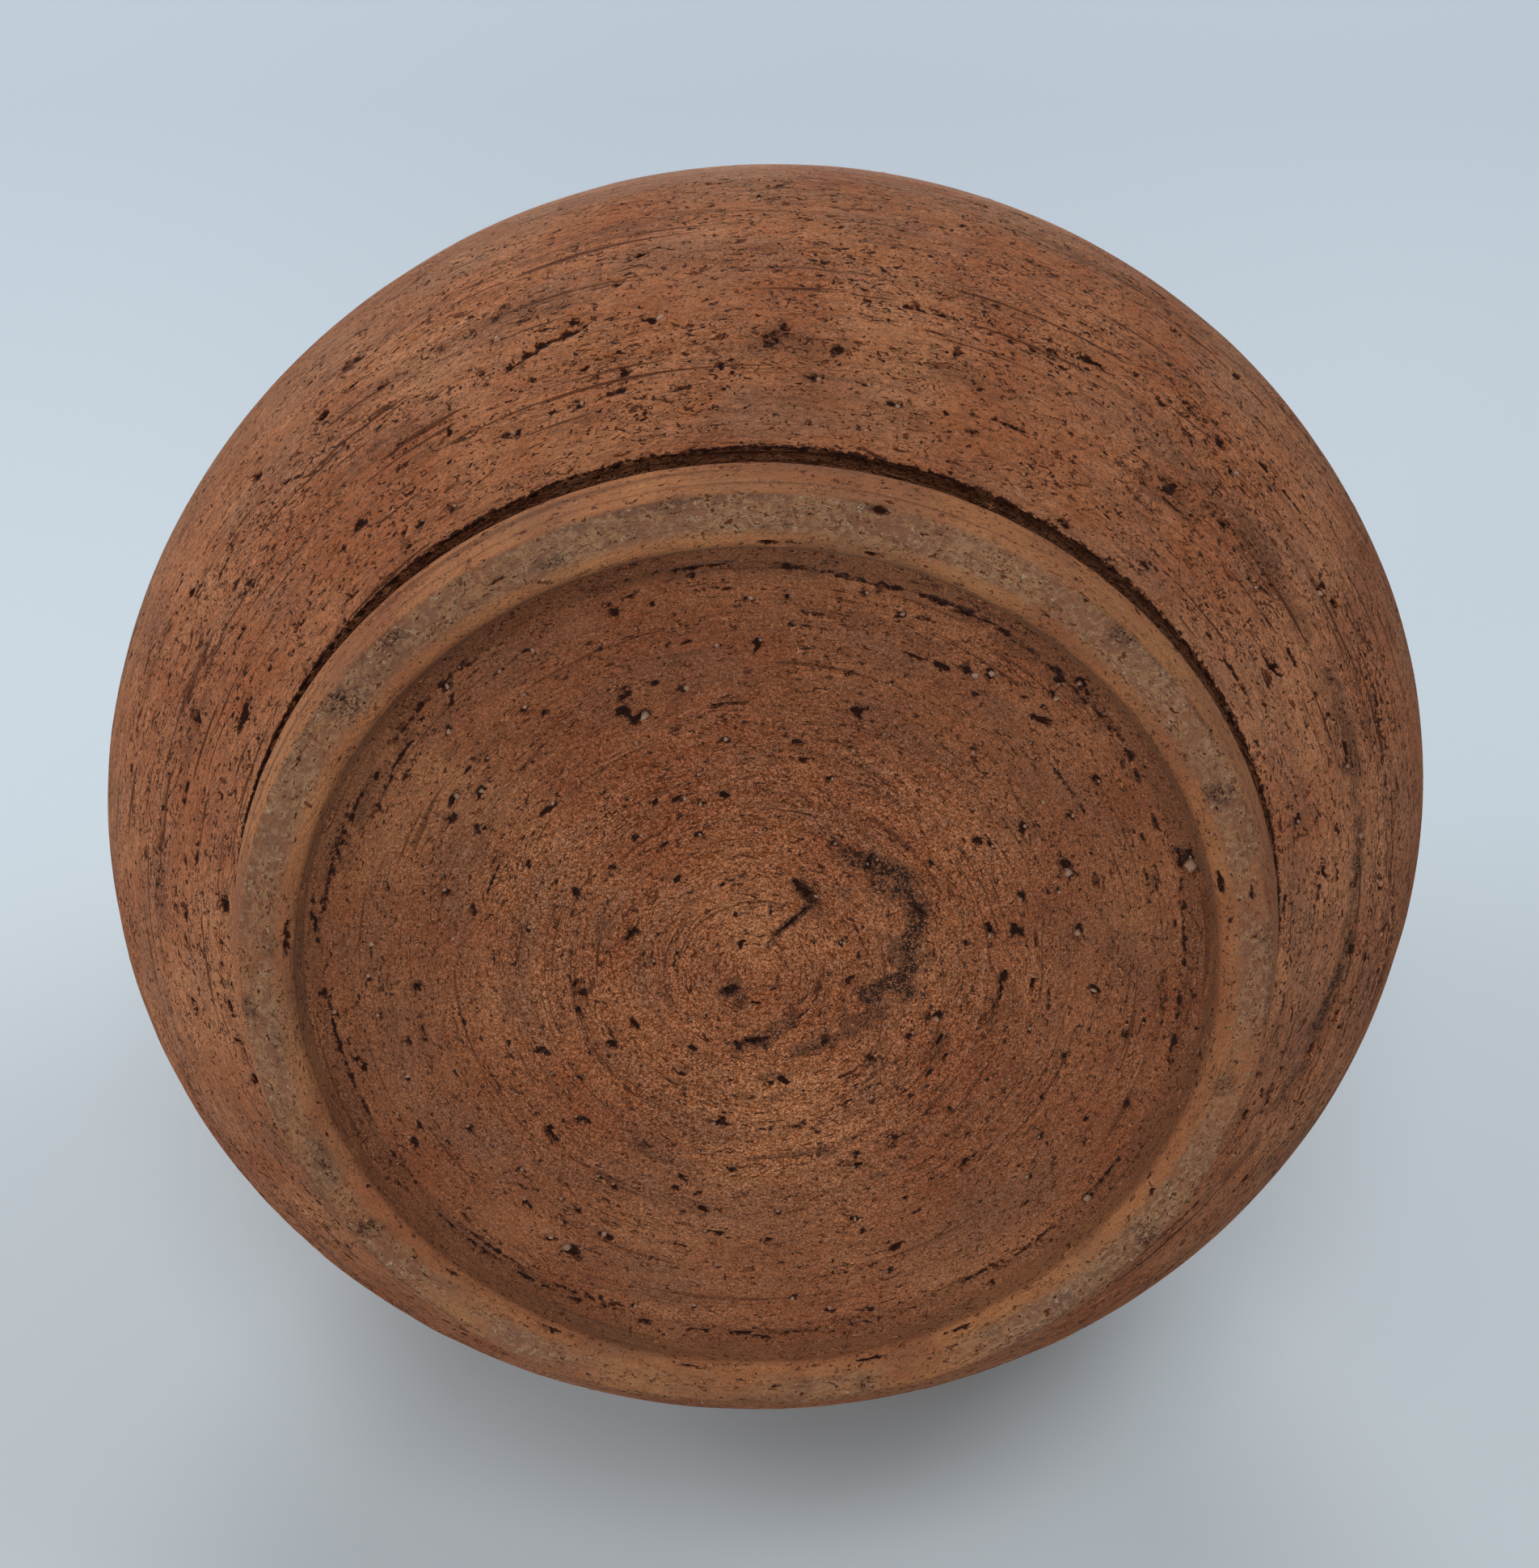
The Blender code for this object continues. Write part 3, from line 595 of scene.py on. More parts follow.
# Base disc
# The floor of the pot, seen from below inside the foot ring, and from above through the mouth.
# It was trimmed with a loop tool while the pot turned upside down: rings, drag marks and torn grit all round.
BASE_STEPS = 600
BASE_FINE = 0.38            # mm between points on the underside
BASE_INSIDE = 2.0           # and elsewhere
BASE_RIM = 48.4             # mm, the radius where the underside ends, just inside the ring
PACKED_RIM = (47.5, 48.2)   # mm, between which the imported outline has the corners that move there
FILLET = 0.9                # mm that the underside rises to the ring
RIM_CUT = 44.8              # mm, the radius of the shallow cut beside that rise
BASE_PITS = 330
BASE_DRAGS = 90
BASE_BLOTCHES = 60
BASE_TEARS = (              # degrees, radius mm, length, width, depth, and any slant and grain
    (297, 11.1, 4.2, 1.8, 0.8, -20, 0.9), (312, 17.5, 4, 1.4, 0.5, -60), (336, 18.8, 2.6, 1, 0.5, 20),
    (300, 7.2, 6.2, 0.5, 0.35, 75), (143, 3.4, 2.8, 1.5, 0.6, 70), (93, 3.9, 1.6, 1.1, 0.7, 0, 0.7),
    (89, 8.3, 3.6, 1.3, 0.7, 15), (48, 11.2, 3, 1.2, 0.3, 30), (41, 16.4, 2.4, 1.3, 0.3, 60),
    (15, 20.5, 1.7, 1.5, 0.6, 0, 1.2), (22, 21.5, 2.2, 1, 0.5), (27, 23.2, 2, 1, 0.5),
    (6, 26.2, 5.2, 0.8, 0.5), (2, 29.8, 4.2, 0.9, 0.7), (137, 30.6, 4.2, 1.2, 0.8, -8),
    (136, 26.6, 3.4, 1.6, 0.5, 30, 0.6), (120, 41.4, 3.4, 2.3, 0.8, 0, 1.4), (17, 35.2, 1.8, 0.9, 0.6, 10),
    (102, 19.5, 2.4, 1.4, 0.6, 10, 0.9), (65, 26.8, 1.9, 1.3, 0.6, 0, 0.9),
    (327, 42, 1.8, 1.5, 0.8, 0, 0.5), (315, 41.5, 3.2, 1.9, 0.6, 20, 0.6), (296, 40, 8.6, 0.9, 0.4),
    (302, 40.8, 2.4, 1, 0.8, 0, 1), (313, 44.2, 1.4, 1.1, 0.5, 0, 0.9), (253, 44.6, 3.6, 1, 0.5),
    (214, 44.6, 10, 0.7, 0.4, 3), (206, 44, 4, 1, 0.5), (195, 40.4, 1.6, 1.1, 0.6),
    (221, 29.2, 4, 0.9, 0.4, -15, 0.5), (204, 30, 7, 0.5, 0.3), (174, 19.3, 3.4, 0.8, 0.7),
    (158, 25.4, 2.8, 1.8, 0.35, 40), (154, 14.8, 2.6, 1.1, 0.4), (151, 43.6, 2.6, 1.3, 0.5, 0, 0.5),
    (341.6, 29.5, 1.4, 1.2, 0.6, 0, 0.8), (327.7, 29, 1.5, 1, 0.5, 0, 0.8),
    (349, 25.3, 1.3, 1, 0.5, 0, 0.9), (327, 39, 14, 0.4, 0.2), (77, 39.8, 17, 0.4, 0.2),
    (66, 38.6, 3.6, 1, 0.5, 8), (265, 31.6, 6.5, 0.5, 0.3), (257, 33.8, 1.6, 1.2, 0.5, 0, 1),
    (278, 27.6, 5, 0.6, 0.25, -12), (281, 25.4, 1.8, 1.3, 0.4), (288, 24, 1.6, 1.2, 0.5, 0, 0.6),
    (248, 22, 2.2, 1, 0.5, 0, 0.6), (232, 20.6, 1.8, 1.2, 0.5, 0, 0.7), (270, 38.2, 1.2, 1, 0.7, 0, 0.6),
    (274, 43.2, 1.1, 0.9, 0.6, 0, 0.5), (88, 34.2, 1.3, 1.2, 0.8), (98, 33.4, 3.6, 0.9, 0.4, 0, 0.6),
    (104, 36, 2, 0.9, 0.5), (60, 33, 1.4, 1.1, 0.5, 0, 0.5), (45, 33.4, 3.6, 1, 0.5),
    (33, 37.5, 1.4, 1, 0.5, 0, 0.6), (8, 42.5, 1.3, 1, 0.6, 0, 0.5), (203, 46, 22, 0.6, 0.45),
    (228, 46.3, 9, 0.5, 0.3), (262, 46.6, 24, 0.5, 0.35), (291, 46.1, 16, 0.5, 0.35),
    (322, 46, 30, 0.45, 0.3), (35, 46.6, 18, 0.5, 0.3), (84, 47, 40, 0.6, 0.4), (128, 46.8, 24, 0.5, 0.3),
    (345, 43.8, 4.2, 0.8, 0.3), (336, 45.3, 6, 0.6, 0.3), (187, 47.2, 5, 1, 0.6),
)
BASE_SMUDGES = (            # degrees, radius mm, length, width, strength, slant: rough dark skin
    (320, 17.6, 5, 3.6, 0.80, -20), (338, 18.6, 5, 3, 0.95, 10), (350, 17, 5, 3.6, 0.90, 20),
    (4, 15.8, 5.2, 4.4, 0.95, 25), (12, 13, 4.4, 2.6, 0.70, 60), (30, 11, 4.6, 2.2, 0.55, 45),
    (46, 11, 4.8, 2.4, 0.70, 25), (41, 16.4, 3.2, 2.4, 0.75, 60), (90, 8.6, 4.6, 2.6, 0.80, 15),
    (143, 3.6, 4, 2.4, 0.75, 70), (80, 12.8, 7, 1.7, 0.60, 0), (84, 15.4, 8, 1.6, 0.45, 0),
    (297, 11.2, 5.4, 2.6, 0.75, -20), (300, 7, 7, 1.4, 0.60, 75), (312, 13.6, 3, 2.2, 0.60, 0),
    (8, 28, 9, 6, 0.40, 0), (24, 21.5, 5, 4, 0.45, 0), (316, 36, 16, 7, 0.30, 0),
    (210, 45.5, 26, 4, 0.55, 0), (262, 46.4, 44, 2.4, 0.60, 0), (310, 45.8, 40, 3, 0.60, 0),
    (350, 46.6, 26, 2.4, 0.60, 0), (185, 47.4, 22, 2.2, 0.45, 0), (285, 41.8, 22, 2.6, 0.45, 0),
)
BASE_TRAILS = (             # (x, y) in mm along a dark band of torn skin, its width and strength
    (((9.5, -14.2), (11.8, -13.2), (14.8, -11.8), (17.3, -7.4), (16.4, -3.6),
      (15.8, 0.8), (12, 2.6)), 2.6, 0.95),
    (((6.4, -9.4), (4.6, -7.2), (2.6, -5.4), (1.4, -3.6)), 1, 0.9), (((-2.4, 1.6), (-1.8, 3.4)), 1.8, 0.8),
    (((4, 5.4), (1.6, 7.4), (-1.6, 8.8)), 1.6, 0.8),
    (((13, 4.4), (10.6, 6.8), (7.6, 8.6), (4.6, 9.4)), 1.8, 0.7),
)
base_outline = cut_open("base_disc")
base_outline[(base_outline[:, 0] > PACKED_RIM[0]) & (base_outline[:, 0] < PACKED_RIM[1]), 0] = BASE_RIM
base_mesh = turn_piece(base_outline, BASE_STEPS, BASE_FINE, BASE_INSIDE, lowest)
base = Skin(base_mesh)
under = base.along <= BASE_RIM + 0.05
near_rim = rise(base.radius, 44.0, 46.8)
base.lift += FILLET * rise(base.radius, 46.0, 49.6) * (1 + 0.35 * base.lumps(6, 20))
base.lift += 0.10 * base.streaks(70, 2.6, 21) + 0.05 * base.streaks(40, 0.9, 22)
base.lift += 0.12 * base.lumps(7, 23) + 0.05 * base.lumps(1.6, 24)
base.lift -= 0.35 * ridge(base.radius, RIM_CUT, 1.1) * rise(base.streaks(26, 9, 25), -0.2, 0.5)
base.lift += 0.35 * near_rim * base.streaks(30, 3.0, 26)
base.lift = np.where(under, base.lift, 0.10 * base.streaks(60, 5.0, 27))
chance = np.random.default_rng(29)
base_grains = []
for angle, at, length, *more in BASE_TEARS:
    base.tear(angle, at, length, *more[:3])
    for grain_size in more[3:]:
        base_grains.append((angle + math.degrees(0.35 * length / at), at, grain_size))
for smudge in BASE_SMUDGES:
    base.smear(*smudge)
for _ in range(BASE_PITS):              # of all sizes, as many for each square millimetre
    at = BASE_RIM * math.sqrt(chance.uniform(0.004, 0.98))
    size = chance.lognormal(-0.15, 0.38)
    angle, slant = draw(chance, ROUND, (-35, 35))
    base.tear(angle, at, 1.35 * size, 0.95 * size, 0.34 * size, slant)
    if chance.random() < 0.5:
        base_grains.append((angle + math.degrees(0.25 * size / at), at, 0.66 * size))
for _ in range(BASE_DRAGS):
    at = BASE_RIM * math.sqrt(chance.uniform(0.02, 0.98))
    angle, *sizes = draw(chance, ROUND, (2.0, 5.0), (0.35, 0.8), (0.08, 0.25))
    base.tear(angle, at, *sizes)
for _ in range(BASE_BLOTCHES):
    at = BASE_RIM * math.sqrt(chance.uniform(0.02, 0.98))
    angle, *sizes = draw(chance, ROUND, (3.0, 9.0), (0.8, 2.0), (0.25, 0.6))
    base.smear(angle, at, *sizes)
base.rough = 0.45 - 0.4 * rise(base.radius, 22.0, 40.0) + 0.15 * base.lumps(9, 30)
for path, width, strength in BASE_TRAILS:
    base.trail(path, width, strength)
# The underside is darker outwards, and ends in a jagged torn line beside the ring; its outer few millimetres
# carry painted shade from the ring, deepest past that line.
edge_radius = 46.0 + 0.5 * base.lumps(9, 28)
beyond = rise(base.radius - edge_radius, -0.2, 0.3)
base.stain_and_shade = np.maximum(base.stain_and_shade, 0.22 * rise(base.radius, 16, 38) * under)
base.stain_and_shade = np.maximum(base.stain_and_shade, (0.12 * near_rim + 0.34 * beyond) * under)
edge_line = ridge(base.radius - edge_radius, 0.2, 0.28) * rise(base.lumps(5, 32), -0.35, 0.25)
base.torn = np.maximum(base.torn, 0.9 * edge_line * under)
base.lift -= 0.12 * edge_line * under
base.finish()
# Turned with a loop tool: the sandiest and most even clay, with torn flakes all over.
turned_base = bare_stoneware("turned_base_stoneware", "#c48259", "#a96543", "#95674e", rings=0.6, lines=0.4,
                             torn_skin=0.6, nicks=0.65, sand=1.1, pits=0.7, scores=0.6)
place_piece("base_disc_trimmed", base_mesh, turned_base, "base_clay", "base_disc")
place_piece("base_disc_grog", set_grains(base, base_grains, 31), grog, "base_clay")

# Belly
# The lower wall, thrown round and turned down to the groove above the foot. The tool ran smoothly near the
# groove, and higher up it tore the coarse clay into a rough band with long scored lines.
BELLY_STEPS = 720
BELLY_FINE = 0.42           # mm between points on the outside
WALL_INSIDE = 2.4           # and elsewhere
BELLY_RADIUS = 68           # mm, about where the rough band is
SEAM = 0.5                  # mm; corners of two walls nearer than this belong to one luted joint
SEAM_BLEND = 1.6            # mm beside a luted joint that the potter wiped smooth
OFF_CENTRE = (1.33, -0.72)  # mm that the belly stands off the foot's axis
OVAL = 0.42                 # mm that its widest line is out of round
OVAL_TURN = 132             # degrees to where that line is longest
SHRUNK = 0.6                # mm that the photograph's belly is smaller in radius than the imported one
# The widest line is rubbed paler, partly real wear and partly painted sheen.
RUBBED_AND_SHEEN = 0.6                # how far the widest line is rubbed, on this piece and the next
BELLY_PITS = 420
BELLY_DRAGS = 110
BELLY_BLOTCHES = 80
BELLY_TEARS = (             # degrees, mm up from the groove, length, width, depth, any slant and grain
    (206.5, 4.7, 5.4, 1.2, 0.6, 8), (218, 4.4, 4.4, 1.1, 0.5), (212, 9.5, 5.5, 0.6, 0.4, 2),
    (203, 10.2, 3.4, 1.8, 0.7, 30), (222.8, 22, 2, 2.4, 0.6, 60), (230.6, 21.3, 1.7, 2.2, 0.8),
    (234, 22.2, 3.6, 1, 0.4), (234, 25.7, 5, 1, 0.3), (246, 6.8, 2.4, 1, 0.6, -25, 1),
    (253, 7.2, 2, 1.2, 0.6, -30, 0.7), (257.5, 9.2, 1.5, 1.3, 0.8), (256.5, 7.4, 4.5, 0.7, 0.4),
    (266.5, 8.3, 1.1, 1.5, 0.8, 60, 0.6), (266.7, 6, 1.8, 0.7, 0.6, 0, 0.6), (263, 6.4, 3.4, 0.6, 0.4),
    (232.3, 3.5, 1.6, 0.9, 0.6), (234.5, 3.2, 1.6, 1.2, 0.8, 10), (232.3, 2.1, 1.4, 1.4, 0.8),
    (238, 2.8, 1.5, 1.2, 0.9, 0, 0.5), (229, 7.1, 2.6, 1, 0.4), (226.5, 6.4, 1.1, 1.1, 0.4),
    (258.2, 19.5, 1.6, 2, 0.6, 50), (260.2, 22.8, 0.9, 1.6, 0.7, 80), (236, 9.3, 1.2, 1, 0.6),
    (240.8, 9.6, 1.3, 1, 0.6), (250.5, 14.4, 15, 1.2, 0.5, 12), (260.6, 14.6, 2.6, 1.1, 0.7, 0, 1.3),
    (254, 16.6, 1.9, 2, 0.6, 50), (247, 17.6, 1.2, 1, 0.4, 0, 0.7), (234.5, 11.7, 9, 0.6, 0.4, 3),
    (293.5, 7.3, 4.4, 0.9, 0.6), (289.6, 5.4, 3.4, 0.9, 0.7, -10), (282.3, 5.9, 2.4, 0.8, 0.6, -8, 0.9),
    (274.8, 7.4, 2.4, 1, 0.6, -12, 1), (287, 12.5, 1.8, 1.8, 0.7, 40), (272.2, 12.4, 1.3, 2, 0.8, 70),
    (276.4, 10.4, 1.6, 2.4, 0.6, 60), (270.8, 11, 2.2, 1.8, 0.7, 20), (290, 10, 1.2, 1.6, 0.5, 60),
    (298.5, 18.1, 5.6, 1, 0.5), (306.2, 19, 1.2, 1.6, 0.6, 70), (312, 19.2, 2.2, 1.6, 0.7, 10),
    (314, 17.6, 1.6, 1.8, 0.7, 50, 1.2), (327.8, 17.2, 1.4, 2.2, 0.7, 60, 1.1),
    (329.6, 18.2, 1.2, 1.8, 0.8, 60), (286, 16.3, 26, 0.45, 0.35, -2), (318, 21.3, 20, 0.5, 0.3, -3),
    (340, 19, 24, 0.6, 0.3, -8), (329.5, 6.9, 4.6, 1.5, 0.9, 14, 0.9), (331, 9.5, 6.5, 0.5, 0.3),
    (326, 2.3, 12, 0.45, 0.4), (311, 2.6, 6, 0.4, 0.3), (345.5, 3.5, 1.9, 1.2, 0.5, 0, 0.7),
    (352.4, 6.3, 2.2, 1, 0.6), (352, 7.9, 1.4, 1.1, 0.6), (302.5, 0.7, 2.6, 1.2, 0.8, -15),
    (289.3, 1.7, 3.4, 0.6, 0.6), (304.6, 29, 1.3, 1.4, 0.5, 0, 0.8), (311, 30.3, 1.2, 1.2, 0.5),
    (287.2, 38, 1.6, 1.6, 0.5, 40), (291, 39.4, 1.6, 1.4, 0.4), (316, 11.9, 4.4, 1.2, 0.5),
    (321.8, 10.3, 2.6, 1.4, 0.6, 0, 0.7), (317.6, 9, 1.5, 1.2, 0.6, 20), (310, 11, 2.6, 2.2, 0.5, 60),
    (323.5, 12, 1, 1.6, 0.6, 70), (163, 2.4, 2.6, 2, 0.7, 30), (167.5, 3, 3.2, 1, 0.7, 10),
    (173, 2.9, 2, 0.7, 0.6), (177.3, 2.9, 1.4, 0.8, 0.7, 0, 0.5), (180.2, 2.8, 2.4, 0.9, 0.7),
    (171.5, 9, 3.6, 1.3, 0.6), (185.5, 2, 4.2, 2.2, 0.7, 20), (191, 6.2, 8, 0.5, 0.3),
    (197, 4.2, 1.6, 0.8, 0.5), (182.5, 7.8, 3, 0.9, 0.5, 5), (195.5, 9.2, 6, 0.6, 0.4, 3),
    (10.5, 12.3, 2, 1.8, 0.7), (14, 9.2, 3.6, 2, 0.6, -10), (3, 11.8, 2.6, 2, 0.5, 20),
    (342, 11.9, 5, 1, 0.5, 0, 0.6), (350.8, 12.3, 1.4, 1.2, 0.5, 0, 1.3), (37, 6.2, 5.4, 0.7, 0.4),
    (222, 1, 1.5, 0.8, 0.6),
)
BELLY_STAINS = (            # degrees, mm up, length, width, strength, slant
    (320, 13.2, 34, 4.2, 0.45, -4), (340, 12.6, 26, 3.4, 0.65, -4), (354, 11.4, 20, 3.2, 0.90, -6),
    (6, 9.8, 22, 3.2, 0.95, -12), (16, 8.6, 14, 2, 0.70, -12), (28, 7.6, 14, 2.2, 0.50, -10),
    (310, 10.6, 14, 4, 0.40, 0), (202, 10, 14, 4.6, 0.40, 0), (232, 12, 26, 2.2, 0.35, 2),
    (184, 12, 16, 3, 0.40, 8), (246, 20, 30, 2.6, 0.35, 0), (236, 25.8, 20, 1.6, 0.40, 0),
    (288, 10.4, 18, 3, 0.40, 0), (272, 10.8, 12, 4.4, 0.40, 0), (300, 33, 40, 3, 0.35, 0),
)
walls = {node: cut_open(node) for node in ("belly", "shoulder", "neck", "lip")}
for points in walls.values():           # the joints were smoothed shut, so each wall grows to half way
    others = np.vstack([other for other in walls.values() if other is not points])
    for point in points:
        apart = np.linalg.norm(others - point, axis=1)
        if apart.min() < SEAM:
            point += (others[apart.argmin()] - point) * 0.5


def wander(skin):
    """Moves a wall off the foot's axis as the thrown form wandered: most at the widest line, less towards
    the mouth, not at all at the groove. It also makes the wall oval and takes SHRUNK off its radius."""
    height = skin.place[:, 2]
    share = rise(height, 6.0, 38.0) * (1 - 0.7 * rise(height, 45.0, 110.0))
    share = (0.25 + 0.75 * share) * rise(height, 8.0, 9.0)
    oval = OVAL * np.cos(2 * np.radians(skin.angle - OVAL_TURN)) - SHRUNK
    skin.place[:, :2] *= 1 + (share * oval / np.maximum(skin.radius, 1))[:, None]
    skin.place[:, :2] += share[:, None] * OFF_CENTRE


belly_mesh = turn_piece(walls["belly"], BELLY_STEPS, BELLY_FINE, WALL_INSIDE, widest)
belly = Skin(belly_mesh)
BELLY_TOP = belly.along[np.argmax(belly.radius)]
outside = (belly.along > -0.5) & (belly.along <= BELLY_TOP + 0.01)
settled = rise(belly.along, 0.0, 0.5) * (1 - rise(belly.along, BELLY_TOP - SEAM_BLEND, BELLY_TOP - 0.1))
settled *= outside
rough_band = rise(belly.along, 8.0, 11.0) * (1 - rise(belly.along, 19.0, 27.0))
rough = rough_band * rise(belly.streaks(16, 5, 41), -0.35, 0.45)
belly.lift += settled * (0.12 * belly.streaks(90, 3.2, 42) + 0.06 * belly.streaks(45, 1.0, 43))
belly.lift += settled * (0.05 + 0.10 * rough) * belly.streaks(6, 1.3, 44)
belly.lift -= settled * 0.26 * rough * rise(belly.streaks(2.2, 0.9, 45), 0.1, 0.7)
belly.rough = settled * (0.15 + 0.85 * rough)
# Painted sheen, with some real rubbing, pales the belly towards its widest line.
belly.worn = RUBBED_AND_SHEEN * rise(belly.along, 24, 35)
chance = np.random.default_rng(47)
belly_grains = []
for angle, at, length, *more in BELLY_TEARS:
    belly.tear(angle, at, length, *more[:3])
    for grain_size in more[3:]:
        belly_grains.append((angle + math.degrees(0.35 * length / BELLY_RADIUS), at, grain_size))
for stain_and_shade in BELLY_STAINS:
    belly.smear(*stain_and_shade)
for _ in range(BELLY_PITS):
    at, angle = draw(chance, (0.6, BELLY_TOP - 1), ROUND)
    size = chance.lognormal(-0.42, 0.36)
    belly.tear(angle, at, 1.6 * size, 0.75 * size, 0.34 * size, chance.uniform(-15, 15))
    if chance.random() < 0.35:
        belly_grains.append((angle + math.degrees(0.45 * size / BELLY_RADIUS), at, 0.6 * size))
for _ in range(BELLY_DRAGS):            # some anywhere, and most near the lower edge of the rough band
    at = chance.uniform(0.6, BELLY_TOP - 1) if chance.random() < 0.4 else chance.normal(14, 4)
    angle, *sizes = draw(chance, ROUND, (2.0, 6.0), (0.45, 0.9), (0.08, 0.3))
    belly.tear(angle, at, *sizes)
for _ in range(BELLY_BLOTCHES):
    belly.smear(*draw(chance, ROUND, (2, BELLY_TOP), (5, 22), (0.6, 2.0), (0.2, 0.5)))
# The inside and the faces in the groove are darkened, in the groove as painted shade from the flange, and a
# near-black painted shadow line runs along the crumbly edge over the groove.
belly.stain_and_shade = np.where(outside, belly.stain_and_shade, 0.55)
belly.torn = np.where(outside, np.maximum(belly.torn, 0.9 - 0.9 * rise(belly.along, 0.0, 0.3)), 0.0)
belly.lift += 0.30 * belly.lumps(1.4, 46) * ridge(belly.along, 0.0, 0.8)
wander(belly)
belly.finish()
# Dragged by the tool: the roughest skin, with deep torn flakes and long dark scores.
dragged_belly = bare_stoneware("dragged_belly_stoneware", "#bd815b", "#a66543", "#966b53", rings=0.5,
                               lines=0.6, torn_skin=0.9, nicks=0.8, sand=0.45, pits=0.9, scores=0.9)
place_piece("belly_turned", belly_mesh, dragged_belly, "belly_clay", "belly")
place_piece("belly_grog", set_grains(belly, belly_grains, 49), grog, "belly_clay")

# Shoulder
# The upper wall, which the potter drew in to the neck and smoothed with a rib, so it is less torn.
# Faint finger rings run round it, and the joint to the belly was wiped shut.
SHOULDER_STEPS = 600
SHOULDER_FINE = 0.55
SHOULDER_PITS = 420
shoulder_mesh = turn_piece(walls["shoulder"], SHOULDER_STEPS, SHOULDER_FINE, WALL_INSIDE, widest)


def smooth_wall(mesh, seed, pits, rubbed_and_sheen=0.0):
    """A thrown wall, smoothed with a rib: low finger rings, a few torn pits, and a lower edge that is rubbed
    paler, partly as painted sheen.
    Gives its skin and its grains."""
    skin = Skin(mesh)
    top = skin.along[np.argmax(np.where(skin.along > 0, skin.place[:, 2], 0))]
    shown = (skin.along > -0.01) & (skin.along <= top + 0.01)
    calm = rise(skin.along, 0.1, SEAM_BLEND) * (1 - rise(skin.along, top - SEAM_BLEND, top - 0.1)) * shown
    skin.lift += calm * (0.14 * skin.streaks(90, 4.0, seed) + 0.05 * skin.streaks(40, 1.1, seed + 1))
    skin.lift += calm * 0.04 * skin.streaks(6, 1.3, seed + 2)
    chance = np.random.default_rng(seed)
    grains = []
    for _ in range(pits):
        angle, at = draw(chance, ROUND, (1.5, top - 1.5))
        size = chance.lognormal(-0.35, 0.36)
        skin.tear(angle, at, 1.7 * size, 0.8 * size, 0.32 * size, chance.uniform(-15, 15))
        if chance.random() < 0.3:
            grains.append((angle + 0.5 * size, at, 0.55 * size))
    for _ in range(pits // 4):
        skin.tear(*draw(chance, ROUND, (1.5, top - 1.5), (3, 9), (0.35, 0.7), (0.06, 0.22)))
        skin.smear(*draw(chance, ROUND, (1.5, top), (5, 20), (0.6, 2.2), (0.15, 0.45)))
    skin.torn *= shown
    skin.stain_and_shade *= shown
    skin.worn = rubbed_and_sheen * (1 - rise(skin.along, 1, 13)) * shown
    wander(skin)
    skin.finish()
    return skin, grains


shoulder, shoulder_grains = smooth_wall(shoulder_mesh, 61, SHOULDER_PITS, RUBBED_AND_SHEEN)
# Ribbed smooth: the same clay with its grit pressed in, calmer and a little darker.
smoothed_wall = bare_stoneware("ribbed_wall_stoneware", "#bb805a", "#9f6140", "#8f6750", rings=0.6, lines=0.7,
                               torn_skin=0.5, nicks=0.6, sand=0.5, pits=0.7, scores=0.6)
place_piece("shoulder_thrown", shoulder_mesh, smoothed_wall, "wall_clay", "shoulder")
place_piece("shoulder_grog", set_grains(shoulder, shoulder_grains, 63), grog, "wall_clay")

# Neck
# A short waisted collar of the same clay, thrown with the shoulder's top and flared to the mouth.
# It is ribbed smooth like the shoulder, with low rings.
NECK_STEPS = 480
NECK_FINE = 0.5
NECK_INSIDE = 1.0
NECK_PITS = 110
neck_mesh = turn_piece(walls["neck"], NECK_STEPS, NECK_FINE, NECK_INSIDE, widest)
neck, neck_grains = smooth_wall(neck_mesh, 71, NECK_PITS)
place_piece("neck_thrown", neck_mesh, smoothed_wall, "wall_clay", "neck")
place_piece("neck_grog", set_grains(neck, neck_grains, 73), grog, "wall_clay")

# Lip
# The rim, folded out and rounded with a wet chamois, which leaves it the smoothest part of the pot.
LIP_STEPS = 480
LIP_FINE = 0.35
LIP_INSIDE = 0.8
LIP_PITS = 26
lip_mesh = turn_piece(walls["lip"], LIP_STEPS, LIP_FINE, LIP_INSIDE, widest)
smooth_wall(lip_mesh, 81, LIP_PITS)
place_piece("lip_rolled", lip_mesh, smoothed_wall, "wall_clay", "lip")

# Table and floor
# The vase was photographed on its side on a pale table, so the picture's background leans against the belly.
# For views from above there is a pale floor under the foot. Each shows only from its front, only to the eye.
TABLE_LEAN = math.radians(22)
TABLE_AHEAD = 0.2           # metres from below the vase's origin to the middle of the table board
# The table is painted brighter from 3 to 14 cm up and dimmer from 17 to 35 cm up: painted light.
TABLE_PAINTED_LIGHT = ((0.03, 0.14, "#d3e1eb"), (0.17, 0.35, "#c3cfdb"))   # metres up where each starts and is full
BOARD = 2.4                 # metres across
FADES, GONE = 0.45, 0.95    # metres from its middle where a board begins to turn clear, and is clear
CLEARANCE = 0.0003          # metres between the vase and a board
PALE = "#cdd8df"


